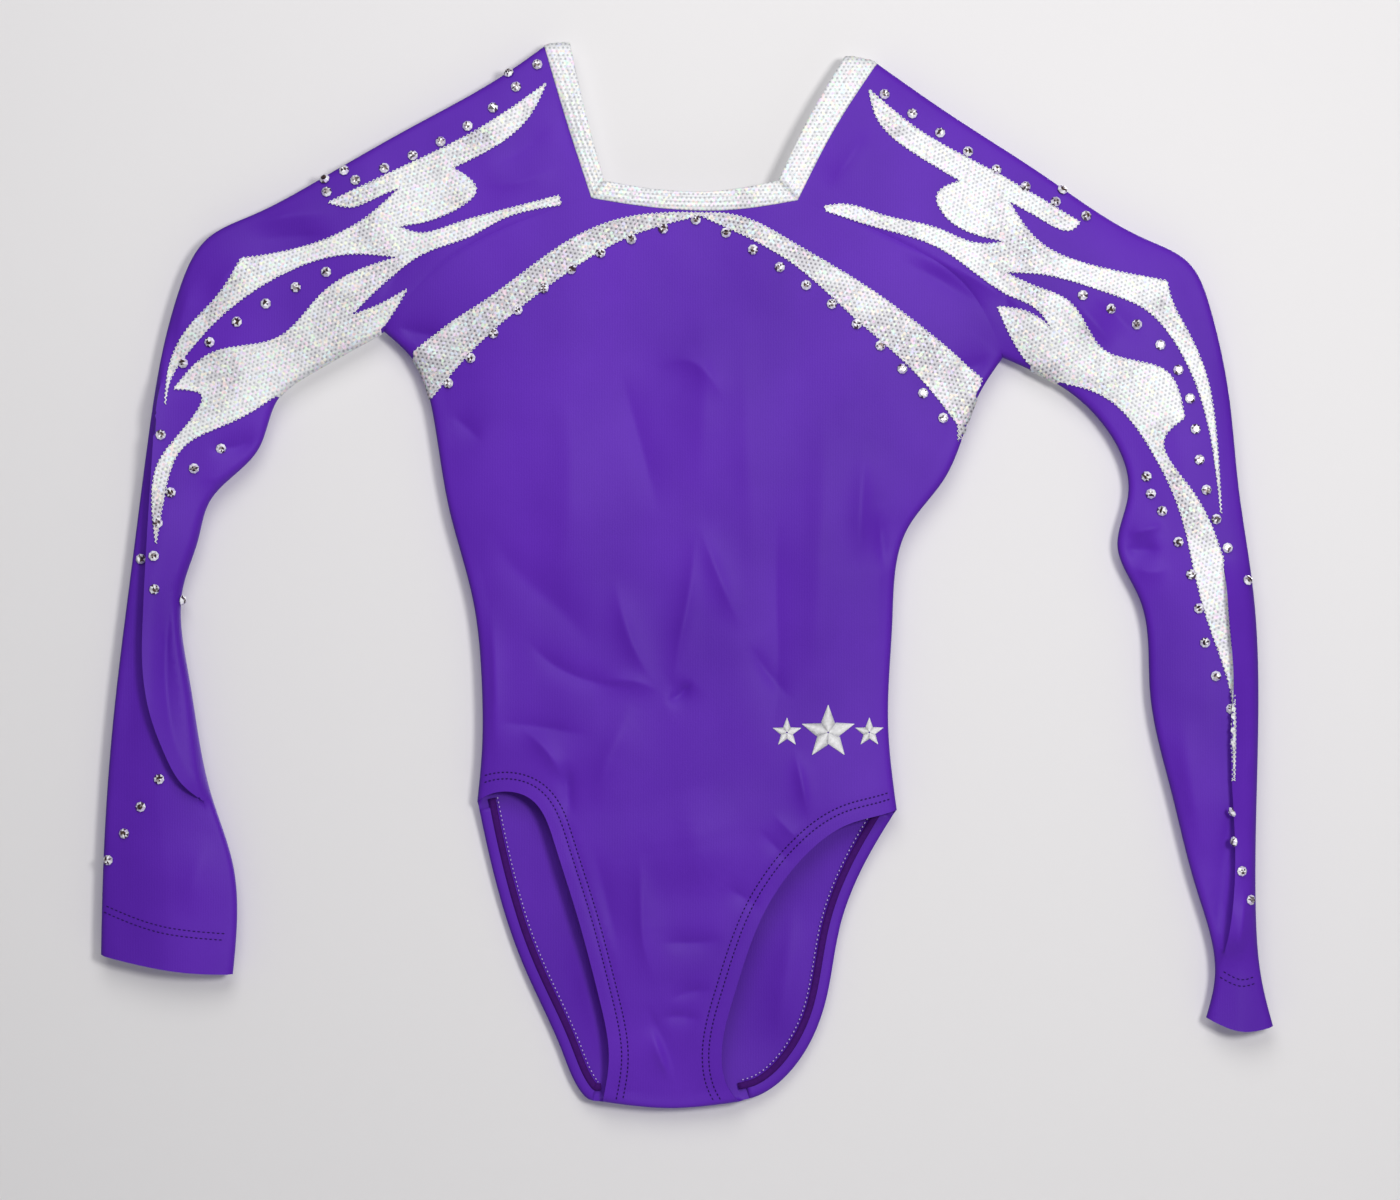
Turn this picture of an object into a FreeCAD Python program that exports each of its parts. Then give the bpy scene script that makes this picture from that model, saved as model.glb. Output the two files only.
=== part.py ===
import FreeCAD, Part
import math
import os

import Sketcher

# Long-sleeved competition leotard with raglan sleeves, hung flat from its shoulders.
# Frame: +X towards the wearer's left arm, -Y out of the front, +Z up, millimetres.
# The origin is the hanger seat: the middle of the neck, level with the shoulder folds.
# Every cloth piece is cut to an outline in the XZ plane and padded through its
# thickness. Depth is measured along -Y, so the front layers have the larger depth.

DIMENSIONS = [
    ("half_depth", 13.0, "middle of the hung garment to the face of its front or back cloth"),
    ("cloth", 1.0, "thickness of the body cloth"),
    ("wall_inset", 0.3, "outline of a panel to the outside of its folded edge"),
    ("trim", 0.6, "thickness of the foil bands and flames"),
    ("binding", 2.0, "thickness of the folded neck binding"),
    ("binding_proud", 0.6, "how far the binding stands over the cloth"),
    ("elastic", 0.8, "thickness of the elastic"),
    ("elastic_wide", 7.0, "width of the leg elastic"),
    ("neck_elastic_wide", 5.0, "width of the neck elastic"),
    ("thread", 0.3, "height of a stitch row over the cloth"),
    ("thread_wide", 0.5, "width of a stitch row"),
    ("needle_first", 8.5, "leg edge to the first needle row"),
    ("needle_gap", 3.0, "distance between the twin needle rows"),
    ("stone", 2.4, "radius of a rhinestone"),
    ("stone_high", 1.6, "height of a rhinestone"),
    ("stone_lift", 0.6, "depth of the glue and foil under a rhinestone"),
    ("stone_taper", 24.0, "slope of a rhinestone's crown, degrees"),
    ("satin", 0.9, "height of the satin stitch embroidery"),
    ("star", 13.0, "outer radius of the large embroidered star"),
    ("small_star", 7.0, "outer radius of the small embroidered stars"),
    ("right_head", 45.0, "radius of the right sleeve head about its shoulder"),
    ("left_head", 46.0, "radius of the left sleeve head about its shoulder"),
    ("head_gap", 0.5, "clearance between a sleeve head and its shoulder panel"),
    ("neck_drop", 8.0, "back neckline below the front neckline"),
]

doc = FreeCAD.newDocument("Leotard")
sheet = doc.addObject("Spreadsheet::Sheet", "Dimensions")
for row, (alias, value, meaning) in enumerate(DIMENSIONS, start=1):
    sheet.set("A%d" % row, alias)
    sheet.set("B%d" % row, str(value))
    sheet.set("C%d" % row, meaning)
    sheet.setAlias("B%d" % row, alias)
doc.recompute()
size = {alias: float(sheet.get(alias)) for alias, value, meaning in DIMENSIONS}

# Depths of the layers, as sheet expressions.
FRONT_FACE = "Dimensions.half_depth"
FRONT_CLOTH = "Dimensions.half_depth - Dimensions.cloth"
FRONT_INSIDE = "Dimensions.half_depth - Dimensions.cloth - Dimensions.elastic"
FRONT_BINDING = "Dimensions.half_depth + Dimensions.binding_proud - Dimensions.binding"
FRONT_NECK_INSIDE = FRONT_BINDING + " - Dimensions.elastic"
BACK_CLOTH = "-Dimensions.half_depth"
BACK_INSIDE = "Dimensions.cloth - Dimensions.half_depth"
BACK_BINDING = "-Dimensions.half_depth - Dimensions.binding_proud"
BACK_NECK_INSIDE = BACK_BINDING + " + Dimensions.binding"
BACK_TRIM = "-Dimensions.half_depth - Dimensions.trim"
BACK_THREAD = "-Dimensions.half_depth - Dimensions.thread"
INSIDE_DEPTH = "2 * (Dimensions.half_depth - Dimensions.cloth)"
NECK_INSIDE_DEPTH = "2 * (" + FRONT_BINDING + ")"

# Seams and edges of the hung garment, each from its first named end to the other.
# A run of three or more points is a smooth curve through them.
RIGHT_SIDE = [(-146, -129), (-132, -143), (-123, -170), (-116, -211), (-105, -253),
              (-101, -290), (-101, -325), (-103, -346)]
LEFT_SIDE = [(140, -141), (129, -158), (113, -197), (96, -220), (89, -262), (87, -310), (91, -350)]
RIGHT_LEG_FRONT = [(-103, -346), (-98, -343), (-79, -344), (-67, -365), (-56, -400), (-46, -438),
                   (-42, -465), (-44, -480), (-45, -485)]
LEFT_LEG_FRONT = [(91, -350), (84, -352), (69, -356), (47, -372), (28, -400), (16, -434), (10, -464),
                  (13, -478), (18, -485)]
RIGHT_LEG_BACK = [(-103, -346), (-101, -356), (-82, -422), (-64, -462), (-55, -481), (-52, -484),
                  (-45, -485)]
LEFT_LEG_BACK = [(91, -350), (86, -358), (65, -404), (58, -440), (44, -469), (26, -483), (18, -485)]
CROTCH = [(-45, -485), (-14, -488), (18, -485)]
RIGHT_RAGLAN = [(-50, -68), (-95, -84), (-126, -104), (-146, -129)]
LEFT_RAGLAN = [(45, -69), (94, -89), (124, -110), (140, -141)]
NECK_SEAM = [(-50, -68), (-25, -72), (20, -73), (45, -69)]
NECK_EDGE = [(-44, -60), (-20, -64), (15, -64), (36, -60)]
RIGHT_STRAP_SEAM = [(-50, -68), (-61, -34), (-72, 3)]
RIGHT_STRAP_EDGE = [(-44, -60), (-53, -27), (-60, 4)]
LEFT_STRAP_SEAM = [(45, -69), (62, -36), (82, -5)]
LEFT_STRAP_EDGE = [(36, -60), (51, -29), (67, -2)]
RIGHT_FOLD = [(-72, 3), (-92, -11), (-131, -33), (-175, -58)]
LEFT_FOLD = [(82, -5), (115, -28), (161, -58)]

# Each sleeve hangs from the end of its shoulder and swings about a Y axis there.
RIGHT_SHOULDER = (-196, -119)
LEFT_SHOULDER = (191, -131)
RIGHT_HEAD_TOP = 105
RIGHT_HEAD_OUT = 180
RIGHT_HEAD_UNDER = -25
LEFT_HEAD_TOP = 72
LEFT_HEAD_OUT = 0
LEFT_HEAD_UNDER = 198
RIGHT_ARM_OUT = [(-250, -150), (-259, -207), (-267, -272), (-273, -335), (-277, -417)]
RIGHT_ARM_IN = [(-180, -148), (-195, -160), (-204, -183), (-227, -208), (-232, -225), (-239, -247),
                (-236, -290), (-226, -343), (-216, -375), (-216, -426)]
RIGHT_CUFF = [(-277, -417), (-260, -421), (-236, -425), (-216, -426)]
LEFT_ARM_OUT = [(244, -161), (249, -200), (256, -250), (258, -320), (257, -395), (265, -450)]
LEFT_ARM_IN = [(171, -157), (190, -177), (198, -204), (193, -228), (203, -252), (208, -295),
               (218, -342), (229, -385), (238, -428), (234, -446)]
LEFT_CUFF = [(265, -450), (250, -452), (234, -446)]
RIGHT_CUFF_ROW = [(-275, -397), (-253, -405), (-218, -410)]
LEFT_CUFF_ROW = [(240, -427), (250, -431), (258, -429)]

# Foil flames: each stroke runs from one point of the flame to the next.
RIGHT_FLAME = [
    [(-71, -15), (-78, -29), (-114, -54)],
    [(-114, -54), (-103, -64), (-114, -74), (-139, -81)],
    [(-139, -81), (-130, -84), (-113, -80), (-92, -74), (-65, -67)],
    [(-65, -67), (-64, -71)],
    [(-64, -71), (-92, -78), (-107, -86), (-124, -92), (-149, -110), (-161, -122)],
    [(-161, -122), (-148, -117), (-135, -110)],
    [(-135, -110), (-144, -124), (-153, -134)],
    [(-153, -134), (-180, -147), (-214, -170), (-239, -184), (-246, -203), (-250, -227)],
    [(-250, -227), (-249, -190), (-234, -170), (-229, -159), (-242, -156)],
    [(-242, -156), (-226, -140), (-194, -132), (-174, -112), (-139, -95)],
    [(-139, -95), (-164, -94), (-196, -105), (-220, -122), (-236, -139), (-244, -152), (-246, -163)],
    [(-246, -163), (-244, -143), (-236, -128), (-222, -113), (-211, -96)],
    [(-211, -96), (-181, -90), (-155, -78), (-138, -63)],
    [(-138, -63), (-150, -68), (-160, -72), (-171, -70)],
    [(-171, -70), (-138, -54), (-100, -35), (-71, -15)],
]
LEFT_FLAME = [
    [(78, -18), (100, -36), (134, -55), (175, -79)],
    [(175, -79), (172, -82), (158, -78), (142, -69)],
    [(142, -69), (156, -88), (184, -100), (215, -106)],
    [(215, -106), (217, -114), (224, -128), (233, -149), (238, -180), (240, -213)],
    [(240, -213), (234, -172), (220, -136), (205, -119), (186, -111), (157, -103), (140, -102)],
    [(140, -102), (155, -109), (170, -116), (186, -138), (215, -148), (223, -169)],
    [(223, -169), (214, -178), (226, -202), (241, -234)],
    [(241, -234), (241, -262), (245, -298), (245, -336)],
    [(245, -336), (241, -290), (231, -256), (222, -215), (207, -182), (188, -160), (158, -151)],
    [(158, -151), (146, -136), (137, -118)],
    [(137, -118), (150, -120), (162, -128)],
    [(162, -128), (155, -119), (141, -112), (110, -91), (84, -82), (58, -74)],
    [(58, -74), (57, -72)],
    [(57, -72), (66, -71), (84, -76), (109, -82), (128, -89), (141, -88)],
    [(141, -88), (125, -84), (112, -75), (109, -67), (120, -60)],
    [(120, -60), (100, -48), (81, -30), (78, -18)],
]
RIGHT_BAND = [
    [(0, -75), (-27, -76), (-44, -80), (-64, -90), (-97, -114), (-117, -127), (-132, -139)],
    [(-132, -139), (-125, -161)],
    [(-125, -161), (-105, -138), (-72, -110), (-31, -85), (0, -76)],
]
LEFT_BAND = [
    [(0, -75), (8, -75), (20, -77), (40, -87), (72, -106), (115, -138), (130, -151)],
    [(130, -151), (119, -180)],
    [(119, -180), (119, -172)],
    [(119, -172), (100, -149), (70, -122), (44, -99), (20, -85), (0, -76)],
]
LINING = [
    [(-31, -482), (-33, -455), (-44, -402)],
    [(-44, -402), (-14, -396), (16, -402)],
    [(16, -402), (1, -455), (-1, -482)],
]

# Rhinestones: a curve and how many are spaced evenly along it, or the place of a single one.
CHEST_STONES = [
    ([(-116, -153), (-75, -112), (-34, -88), (-2, -78)], 10),
    ([(12, -84), (50, -109), (84, -137), (112, -169)], 10),
]
RIGHT_SHOULDER_STONES = [
    ([(-75, -6), (-95, -26), (-132, -48), (-172, -65)], 9),
    ([(-88, -10)], 1), ([(-164, -55)], 1), ([(-173, -59)], 1),
]
LEFT_SHOULDER_STONES = [
    ([(85, -20), (111, -38), (151, -63), (178, -76)], 8),
    ([(167, -64)], 1),
]
RIGHT_SLEEVE_STONES = [
    ([(-172, -102), (-207, -121), (-238, -144)], 6),
    ([(-221, -183), (-245, -206), (-251, -248)], 6),
    ([(-250, -336), (-273, -373)], 4),
    ([(-248, -177)], 1), ([(-259, -234)], 1), ([(-240, -253)], 1),
]
LEFT_SLEEVE_STONES = [
    ([(176, -113), (204, -128), (225, -158), (230, -189), (243, -229)], 11),
    ([(213, -212), (226, -241), (232, -273), (242, -303)], 7),
    ([(245, -350), (246, -364), (253, -391)], 4),
    ([(252, -244)], 1), ([(206, -196)], 1), ([(208, -204)], 1),
]
STAR_CENTRE = (59, -314)
SMALL_STAR_OFFSET = 19

problems = []
nodes = []


def vector(point):
    return FreeCAD.Vector(point[0], point[1], 0)


def curve(points):
    """A line through two points, or a smooth curve through more."""
    if len(points) == 2:
        return Part.LineSegment(vector(points[0]), vector(points[1]))
    spline = Part.BSplineCurve()
    spline.interpolate([vector(point) for point in points])
    return spline


def on_circle(centre, radius, degrees):
    angle = math.radians(degrees)
    return (centre[0] + radius * math.cos(angle), centre[1] + radius * math.sin(angle))


def toward(point, target, distance):
    """The place at a distance from a point, in the direction of a target."""
    share = distance / math.dist(point, target)
    return (point[0] + (target[0] - point[0]) * share, point[1] + (target[1] - point[1]) * share)


def arc(centre, radius, first, last):
    """Three points of an arc, which join_strokes turns into a true circular arc."""
    middle = (first + last) / 2
    return ("arc", [on_circle(centre, radius, degrees) for degrees in (first, middle, last)])


def parallel(points, distance):
    """The points moved sideways by a distance, to the left of their direction of travel."""
    line = curve(points)
    moved = []
    for point in points:
        tangent = line.tangent(line.parameter(vector(point)))[0]
        tangent.normalize()
        moved.append((point[0] - tangent.y * distance, point[1] + tangent.x * distance))
    return moved


def ribbon(points, near, far):
    """A strip along a curve, between two distances to its left."""
    first = parallel(points, near)
    second = parallel(points, far)
    return [first, [first[-1], second[-1]], second[::-1], [second[0], first[0]]]


def ring_part(centre, inner, outer, first, last):
    """A strip of a ring between two angles."""
    return [
        arc(centre, outer, first, last),
        [on_circle(centre, outer, last), on_circle(centre, inner, last)],
        arc(centre, inner, last, first),
        [on_circle(centre, inner, first), on_circle(centre, outer, first)],
    ]


def lowered(strokes, drop):
    return [[(x, z - drop) for x, z in stroke] for stroke in strokes]


def draw(sketch, strokes):
    """Draw a closed outline, adding the last line if the strokes leave a gap."""
    ends = []
    for stroke in strokes:
        if stroke[0] == "arc":
            first, middle, last = stroke[1]
            sketch.addGeometry(Part.Arc(vector(first), vector(middle), vector(last)), False)
            ends.append((first, last))
        else:
            sketch.addGeometry(curve(stroke), False)
            ends.append((stroke[0], stroke[-1]))
    if vector(ends[-1][1]).distanceToPoint(vector(ends[0][0])) > 1e-6:
        sketch.addGeometry(curve([ends[-1][1], ends[0][0]]), False)


def new_body(label):
    body = doc.addObject("PartDesign::Body", label)
    body.Label = label
    body.AllowCompound = True
    nodes.append(label)
    return body


def new_sketch(body, name, start):
    """A sketch parallel to the body's XZ plane, at a depth given by a sheet expression."""
    sketch = body.newObject("Sketcher::SketchObject", name)
    plane = [item for item in body.Origin.OriginFeatures if item.Role == "XZ_Plane"][0]
    sketch.AttachmentSupport = [(plane, "")]
    sketch.MapMode = "FlatFace"
    sketch.setExpression("AttachmentOffset.Base.z", start)
    return sketch


def pad(body, name, strokes, start, thickness):
    """Pad an outline from a depth towards the front, and check that it added material."""
    sketch = new_sketch(body, name + "_outline", start)
    draw(sketch, strokes)
    before = 0.0 if body.Tip is None else body.Tip.Shape.Volume
    feature = body.newObject("PartDesign::Pad", name)
    feature.Profile = sketch
    feature.setExpression("Length", thickness)
    doc.recompute()
    if feature.Shape.Volume <= before:
        problems.append(feature.Name + " adds nothing")


def extrusion(name, strokes, start, thickness):
    """A free-standing prism of an outline, used to cut or to be cut."""
    sketch = doc.addObject("Sketcher::SketchObject", name + "_outline")
    sketch.Placement.Rotation = FreeCAD.Rotation(FreeCAD.Vector(1, 0, 0), 90)
    sketch.setExpression("Placement.Base.y", "-(" + start + ")")
    draw(sketch, strokes)
    prism = doc.addObject("Part::Extrusion", name)
    prism.Base = sketch
    prism.DirMode = "Normal"
    prism.Solid = True
    prism.setExpression("LengthFwd", thickness)
    return prism


def spaced(points, count):
    """Evenly spaced points along a curve, its ends included, or a single point."""
    if count == 1:
        return points
    edge = curve(points).toShape()
    return [(place.x, place.y) for place in edge.discretize(Number=count)]


def rhinestones(label, rows, sides):
    """One node of separate stones: rows on the front, the back or both."""
    body = new_body(label)
    for side in sides:
        front = side == "front"
        start = FRONT_FACE if front else BACK_CLOTH
        lift = "Dimensions.stone_lift"
        sketch = new_sketch(body, label + "_" + side, start + (" + " if front else " - ") + lift)
        for points, count in rows:
            for place in spaced(points, count):
                circle = Part.Circle(vector(place), FreeCAD.Vector(0, 0, 1), size["stone"])
                sketch.addGeometry(circle, False)
        sketch.addConstraint(Sketcher.Constraint("Radius", 0, size["stone"]))
        sketch.setExpression("Constraints[0]", "Dimensions.stone")
        for index in range(1, sketch.GeometryCount):
            sketch.addConstraint(Sketcher.Constraint("Equal", 0, index))
        crown = body.newObject("PartDesign::Pad", label + "_" + side + "_crown")
        crown.Profile = sketch
        crown.Reversed = not front
        crown.setExpression("Length", "Dimensions.stone_high")
        crown.setExpression("TaperAngle", "-Dimensions.stone_taper")
    return body


def star(centre, radius):
    """A closed five-pointed star."""
    inner = radius * 0.42
    tips = [on_circle(centre, inner if step % 2 else radius, 90 + 36 * step) for step in range(10)]
    return [[tips[step], tips[(step + 1) % 10]] for step in range(10)]


def body_panels():
    """Front and back panels. Their side seams close the tube of the torso."""
    front = new_body("front_body_panel")
    outline = [
        NECK_SEAM, LEFT_RAGLAN, LEFT_SIDE, LEFT_LEG_FRONT, CROTCH[::-1],
        RIGHT_LEG_FRONT[::-1], RIGHT_SIDE[::-1], RIGHT_RAGLAN[::-1],
    ]
    pad(front, "front_face", outline, FRONT_CLOTH, "Dimensions.cloth")
    back = new_body("back_body_panel")
    low_neck = lowered([NECK_SEAM], size["neck_drop"])[0]
    outline = [
        [NECK_SEAM[0], low_neck[0]], low_neck, [low_neck[-1], NECK_SEAM[-1]], LEFT_RAGLAN,
        LEFT_SIDE, LEFT_LEG_BACK, CROTCH[::-1], RIGHT_LEG_BACK[::-1], RIGHT_SIDE[::-1],
        RIGHT_RAGLAN[::-1],
    ]
    pad(back, "back_face", outline, BACK_CLOTH, "Dimensions.cloth")
    walls = (
        ("right_side", wall_along(RIGHT_SIDE, 1)),
        ("left_side", wall_along(LEFT_SIDE, -1)),
        ("crotch", wall_along(CROTCH, 1)),
    )
    for name, strokes in walls:
        pad(front, "front_wall_" + name, strokes, "0", FRONT_CLOTH)
        pad(back, "back_wall_" + name, strokes, BACK_INSIDE, FRONT_CLOTH)


def shoulder_panel(side, seam, raglan, fold, centre, angles, turn):
    """Raglan sleeve head: front and back joined by the fold, round the hanging sleeve."""
    label = side + "_shoulder_panel"
    top, out, under = angles
    reach = size[side + "_head"] + size["head_gap"]
    crest = on_circle(centre, reach, top)
    pit = on_circle(centre, reach, under)
    edge = fold + [crest]
    outline = [seam, edge, [crest, centre], [centre, pit], [pit, raglan[-1]], raglan[::-1]]
    body = new_body(label)
    pad(body, label + "_front", outline, FRONT_CLOTH, "Dimensions.cloth")
    folded = [toward(edge[0], edge[1], size["cloth"])] + edge[1:]
    pad(body, label + "_fold", wall_along(folded, turn), BACK_INSIDE, INSIDE_DEPTH)
    pad(body, label + "_back", outline, BACK_CLOTH, "Dimensions.cloth")
    socket = new_sketch(body, label + "_socket_outline", "0")
    socket.addGeometry(Part.Circle(vector(centre), FreeCAD.Vector(0, 0, 1), reach), False)
    socket.addConstraint(Sketcher.Constraint("Radius", 0, reach))
    socket.setExpression("Constraints[0]", "Dimensions.%s_head + Dimensions.head_gap" % side)
    before = body.Tip.Shape.Volume
    pocket = body.newObject("PartDesign::Pocket", label + "_socket")
    pocket.Profile = socket
    pocket.Type = "ThroughAll"
    pocket.Midplane = True
    doc.recompute()
    if pocket.Shape.Volume >= before:
        problems.append(pocket.Name + " cuts nothing")
    return outline


def sleeve(side, centre, angles, arm_out, arm_in, cuff, turn):
    """A flattened tube: front, back, the outer edge and the underarm seam."""
    label = side + "_sleeve"
    top, out, under = angles
    radius = size[side + "_head"]
    outer = [on_circle(centre, radius, out)] + arm_out
    inner = [on_circle(centre, radius, under)] + arm_in
    outline = [arc(centre, radius, under, out), outer, cuff, inner[::-1]]
    rim = radius - size["wall_inset"]
    head = ring_part(centre, rim - size["cloth"], rim, top, out)
    body = new_body(label)
    pad(body, label + "_front", outline, FRONT_CLOTH, "Dimensions.cloth")
    pad(body, label + "_head", head, BACK_INSIDE, INSIDE_DEPTH)
    pad(body, label + "_outer", wall_along(outer, turn), BACK_INSIDE, INSIDE_DEPTH)
    pad(body, label + "_inner", wall_along(inner, -turn), BACK_INSIDE, INSIDE_DEPTH)
    pad(body, label + "_back", outline, BACK_CLOTH, "Dimensions.cloth")
    return outline


def wall_along(edge, turn):
    """The folded edge of the cloth: it lies left of the edge for turn 1, right for -1."""
    near = size["wall_inset"]
    far = near + size["cloth"]
    return ribbon(edge, near * turn, far * turn)


def neck_strips():
    """Foil binding across the front and the back of the neck."""
    front = [NECK_SEAM, [NECK_SEAM[-1], NECK_EDGE[-1]], NECK_EDGE[::-1]]
    strips = (
        ("front_neck_binding", front, FRONT_BINDING),
        ("back_neck_binding", lowered(front, size["neck_drop"]), BACK_BINDING),
    )
    for label, strokes, start in strips:
        pad(new_body(label), label + "_strip", strokes, start, "Dimensions.binding")


def neck_strap(side, seam, edge, turn):
    """Binding that runs up the side of the neck, over the shoulder and down the back."""
    label = side + "_neck_binding"
    drop = size["neck_drop"]
    low_seam = (seam[0][0], seam[0][1] - drop)
    low_edge = (edge[0][0], edge[0][1] - drop)
    top = [seam[-1], edge[-1]]
    front = [seam, top, edge[::-1]]
    back = [[low_seam, seam[0]], seam, top, edge[::-1], [edge[0], low_edge]]
    under_top = -size["binding"] * turn
    fold = ribbon(top, min(0, under_top), max(0, under_top))
    body = new_body(label)
    pad(body, label + "_front", front, FRONT_BINDING, "Dimensions.binding")
    pad(body, label + "_fold", fold, BACK_NECK_INSIDE, NECK_INSIDE_DEPTH)
    pad(body, label + "_back", back, BACK_BINDING, "Dimensions.binding")


def neck_elastic():
    """One loop of elastic behind the binding: over both shoulders and across front and back."""
    body = new_body("neck_elastic")
    half = size["neck_elastic_wide"] / 2
    drop = size["neck_drop"]
    thick = "Dimensions.elastic"
    middle = centre_line(NECK_SEAM, NECK_EDGE)
    pad(body, "elastic_front", ribbon(middle, -half, half), FRONT_NECK_INSIDE, thick)
    low_middle = lowered([middle], drop)[0]
    pad(body, "elastic_back", ribbon(low_middle, -half, half), BACK_NECK_INSIDE, thick)
    straps = (("right", RIGHT_STRAP_SEAM, RIGHT_STRAP_EDGE), ("left", LEFT_STRAP_SEAM, LEFT_STRAP_EDGE))
    for side, seam, edge in straps:
        strand = centre_line(seam, edge)
        strand[-1] = toward(strand[-1], strand[-2], size["binding"] + half / 2)
        low = [strand[0], (strand[0][0], strand[0][1] - drop)]
        over = [strand[-1], toward(strand[-1], strand[-2], 1)]
        strip = ribbon(strand, -half, half)
        pad(body, side + "_elastic_front", strip, FRONT_NECK_INSIDE, thick)
        pad(body, side + "_elastic_back", strip, BACK_NECK_INSIDE, thick)
        pad(body, side + "_elastic_low", ribbon(low, -half, half), BACK_NECK_INSIDE, thick)
        pad(body, side + "_elastic_over", ribbon(over, -half, half), BACK_NECK_INSIDE, NECK_INSIDE_DEPTH)


def centre_line(first, second):
    """Points midway between two edges that have the same number of points."""
    return [((a[0] + b[0]) / 2, (a[1] + b[1]) / 2) for a, b in zip(first, second)]


def leg_trim(side, front, back, turn):
    """Elastic inside the leg hem and the twin rows of stitches that hold it."""
    near, far = 0.5, 0.5 + size["elastic_wide"]
    elastic = new_body(side + "_leg_elastic")
    stitching = new_body(side + "_leg_stitching")
    for name, edge in (("front", front[1:-1]), ("back", back[1:-1])):
        inside = FRONT_INSIDE if name == "front" else BACK_INSIDE
        outside = FRONT_FACE if name == "front" else BACK_THREAD
        strip = ribbon(edge, near * turn, far * turn)
        pad(elastic, side + "_elastic_" + name, strip, inside, "Dimensions.elastic")
        for needle in range(2):
            reach = size["needle_first"] + needle * size["needle_gap"]
            row = ribbon(edge, reach * turn, (reach + size["thread_wide"]) * turn)
            pad(stitching, "%s_leg_%s_row_%d" % (side, name, needle), row, outside, "Dimensions.thread")


def cuff_stitching(side, row_line):
    """Twin rows of stitches round the cuff hem."""
    body = new_body(side + "_cuff_stitching")
    for needle in range(2):
        reach = needle * size["needle_gap"]
        row = ribbon(row_line, reach, reach + size["thread_wide"])
        for name, start in (("front", FRONT_FACE), ("back", BACK_THREAD)):
            pad(body, "%s_cuff_%s_row_%d" % (side, name, needle), row, start, "Dimensions.thread")


def flames(side, strokes, shoulder, arm, centre):
    """Foil flames on the front and back, each in a shoulder piece and a sleeve piece."""
    disc = doc.addObject("Part::Cylinder", side + "_flame_gap")
    disc.setExpression("Radius", "Dimensions.%s_head + Dimensions.head_gap" % side)
    disc.setExpression("Height", "4 * Dimensions.half_depth")
    disc.Placement = FreeCAD.Placement(
        FreeCAD.Vector(centre[0], 2 * size["half_depth"], centre[1]),
        FreeCAD.Rotation(FreeCAD.Vector(1, 0, 0), 90),
    )
    for face, start in (("front", FRONT_FACE), ("back", BACK_TRIM)):
        for place, region in (("shoulder", shoulder), ("sleeve", arm)):
            label = "%s_%s_flame_%s" % (side, place, face)
            foil = extrusion(label + "_foil", strokes, start, "Dimensions.trim")
            area = extrusion(label + "_area", region, start, "Dimensions.trim")
            piece = doc.addObject("Part::Common", label if place == "sleeve" else label + "_whole")
            piece.Base = foil
            piece.Tool = area
            if place == "shoulder":
                clear = doc.addObject("Part::Cut", label)
                clear.Base = piece
                clear.Tool = disc
            nodes.append(label)


def chest_bands():
    for side, strokes in (("right", RIGHT_BAND), ("left", LEFT_BAND)):
        label = side + "_chest_band"
        pad(new_body(label), label + "_foil", strokes, FRONT_FACE, "Dimensions.trim")


def hip_embroidery():
    """A large satin stitch star between two small ones."""
    body = new_body("hip_embroidery")
    x, z = STAR_CENTRE
    stars = ((0, "star"), (-SMALL_STAR_OFFSET, "small_star"), (SMALL_STAR_OFFSET, "small_star"))
    for index, (offset, radius) in enumerate(stars):
        outline = star((x + offset, z), size[radius])
        pad(body, "satin_star_%d" % index, outline, FRONT_FACE, "Dimensions.satin")


def build():
    body_panels()
    right_angles = (RIGHT_HEAD_TOP, RIGHT_HEAD_OUT, RIGHT_HEAD_UNDER)
    left_angles = (LEFT_HEAD_TOP, LEFT_HEAD_OUT, LEFT_HEAD_UNDER)
    right_area = shoulder_panel("right", RIGHT_STRAP_SEAM, RIGHT_RAGLAN, RIGHT_FOLD, RIGHT_SHOULDER,
                                right_angles, 1)
    left_area = shoulder_panel("left", LEFT_STRAP_SEAM, LEFT_RAGLAN, LEFT_FOLD, LEFT_SHOULDER,
                               left_angles, -1)
    right_arm = sleeve("right", RIGHT_SHOULDER, right_angles, RIGHT_ARM_OUT, RIGHT_ARM_IN, RIGHT_CUFF, 1)
    left_arm = sleeve("left", LEFT_SHOULDER, left_angles, LEFT_ARM_OUT, LEFT_ARM_IN, LEFT_CUFF, -1)
    neck_strips()
    neck_strap("right", RIGHT_STRAP_SEAM, RIGHT_STRAP_EDGE, 1)
    neck_strap("left", LEFT_STRAP_SEAM, LEFT_STRAP_EDGE, -1)
    neck_elastic()
    leg_trim("right", RIGHT_LEG_FRONT, RIGHT_LEG_BACK, 1)
    leg_trim("left", LEFT_LEG_FRONT, LEFT_LEG_BACK, -1)
    cuff_stitching("right", RIGHT_CUFF_ROW)
    cuff_stitching("left", LEFT_CUFF_ROW)
    pad(new_body("crotch_lining"), "lining_face", LINING, FRONT_INSIDE, "Dimensions.elastic")
    chest_bands()
    flames("right", RIGHT_FLAME, right_area, right_arm, RIGHT_SHOULDER)
    flames("left", LEFT_FLAME, left_area, left_arm, LEFT_SHOULDER)
    hip_embroidery()
    rhinestones("chest_rhinestones", CHEST_STONES, ["front"])
    rhinestones("right_shoulder_rhinestones", RIGHT_SHOULDER_STONES, ["front", "back"])
    rhinestones("left_shoulder_rhinestones", LEFT_SHOULDER_STONES, ["front", "back"])
    rhinestones("right_sleeve_rhinestones", RIGHT_SLEEVE_STONES, ["front", "back"])
    rhinestones("left_sleeve_rhinestones", LEFT_SLEEVE_STONES, ["front", "back"])
    doc.recompute()


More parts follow.
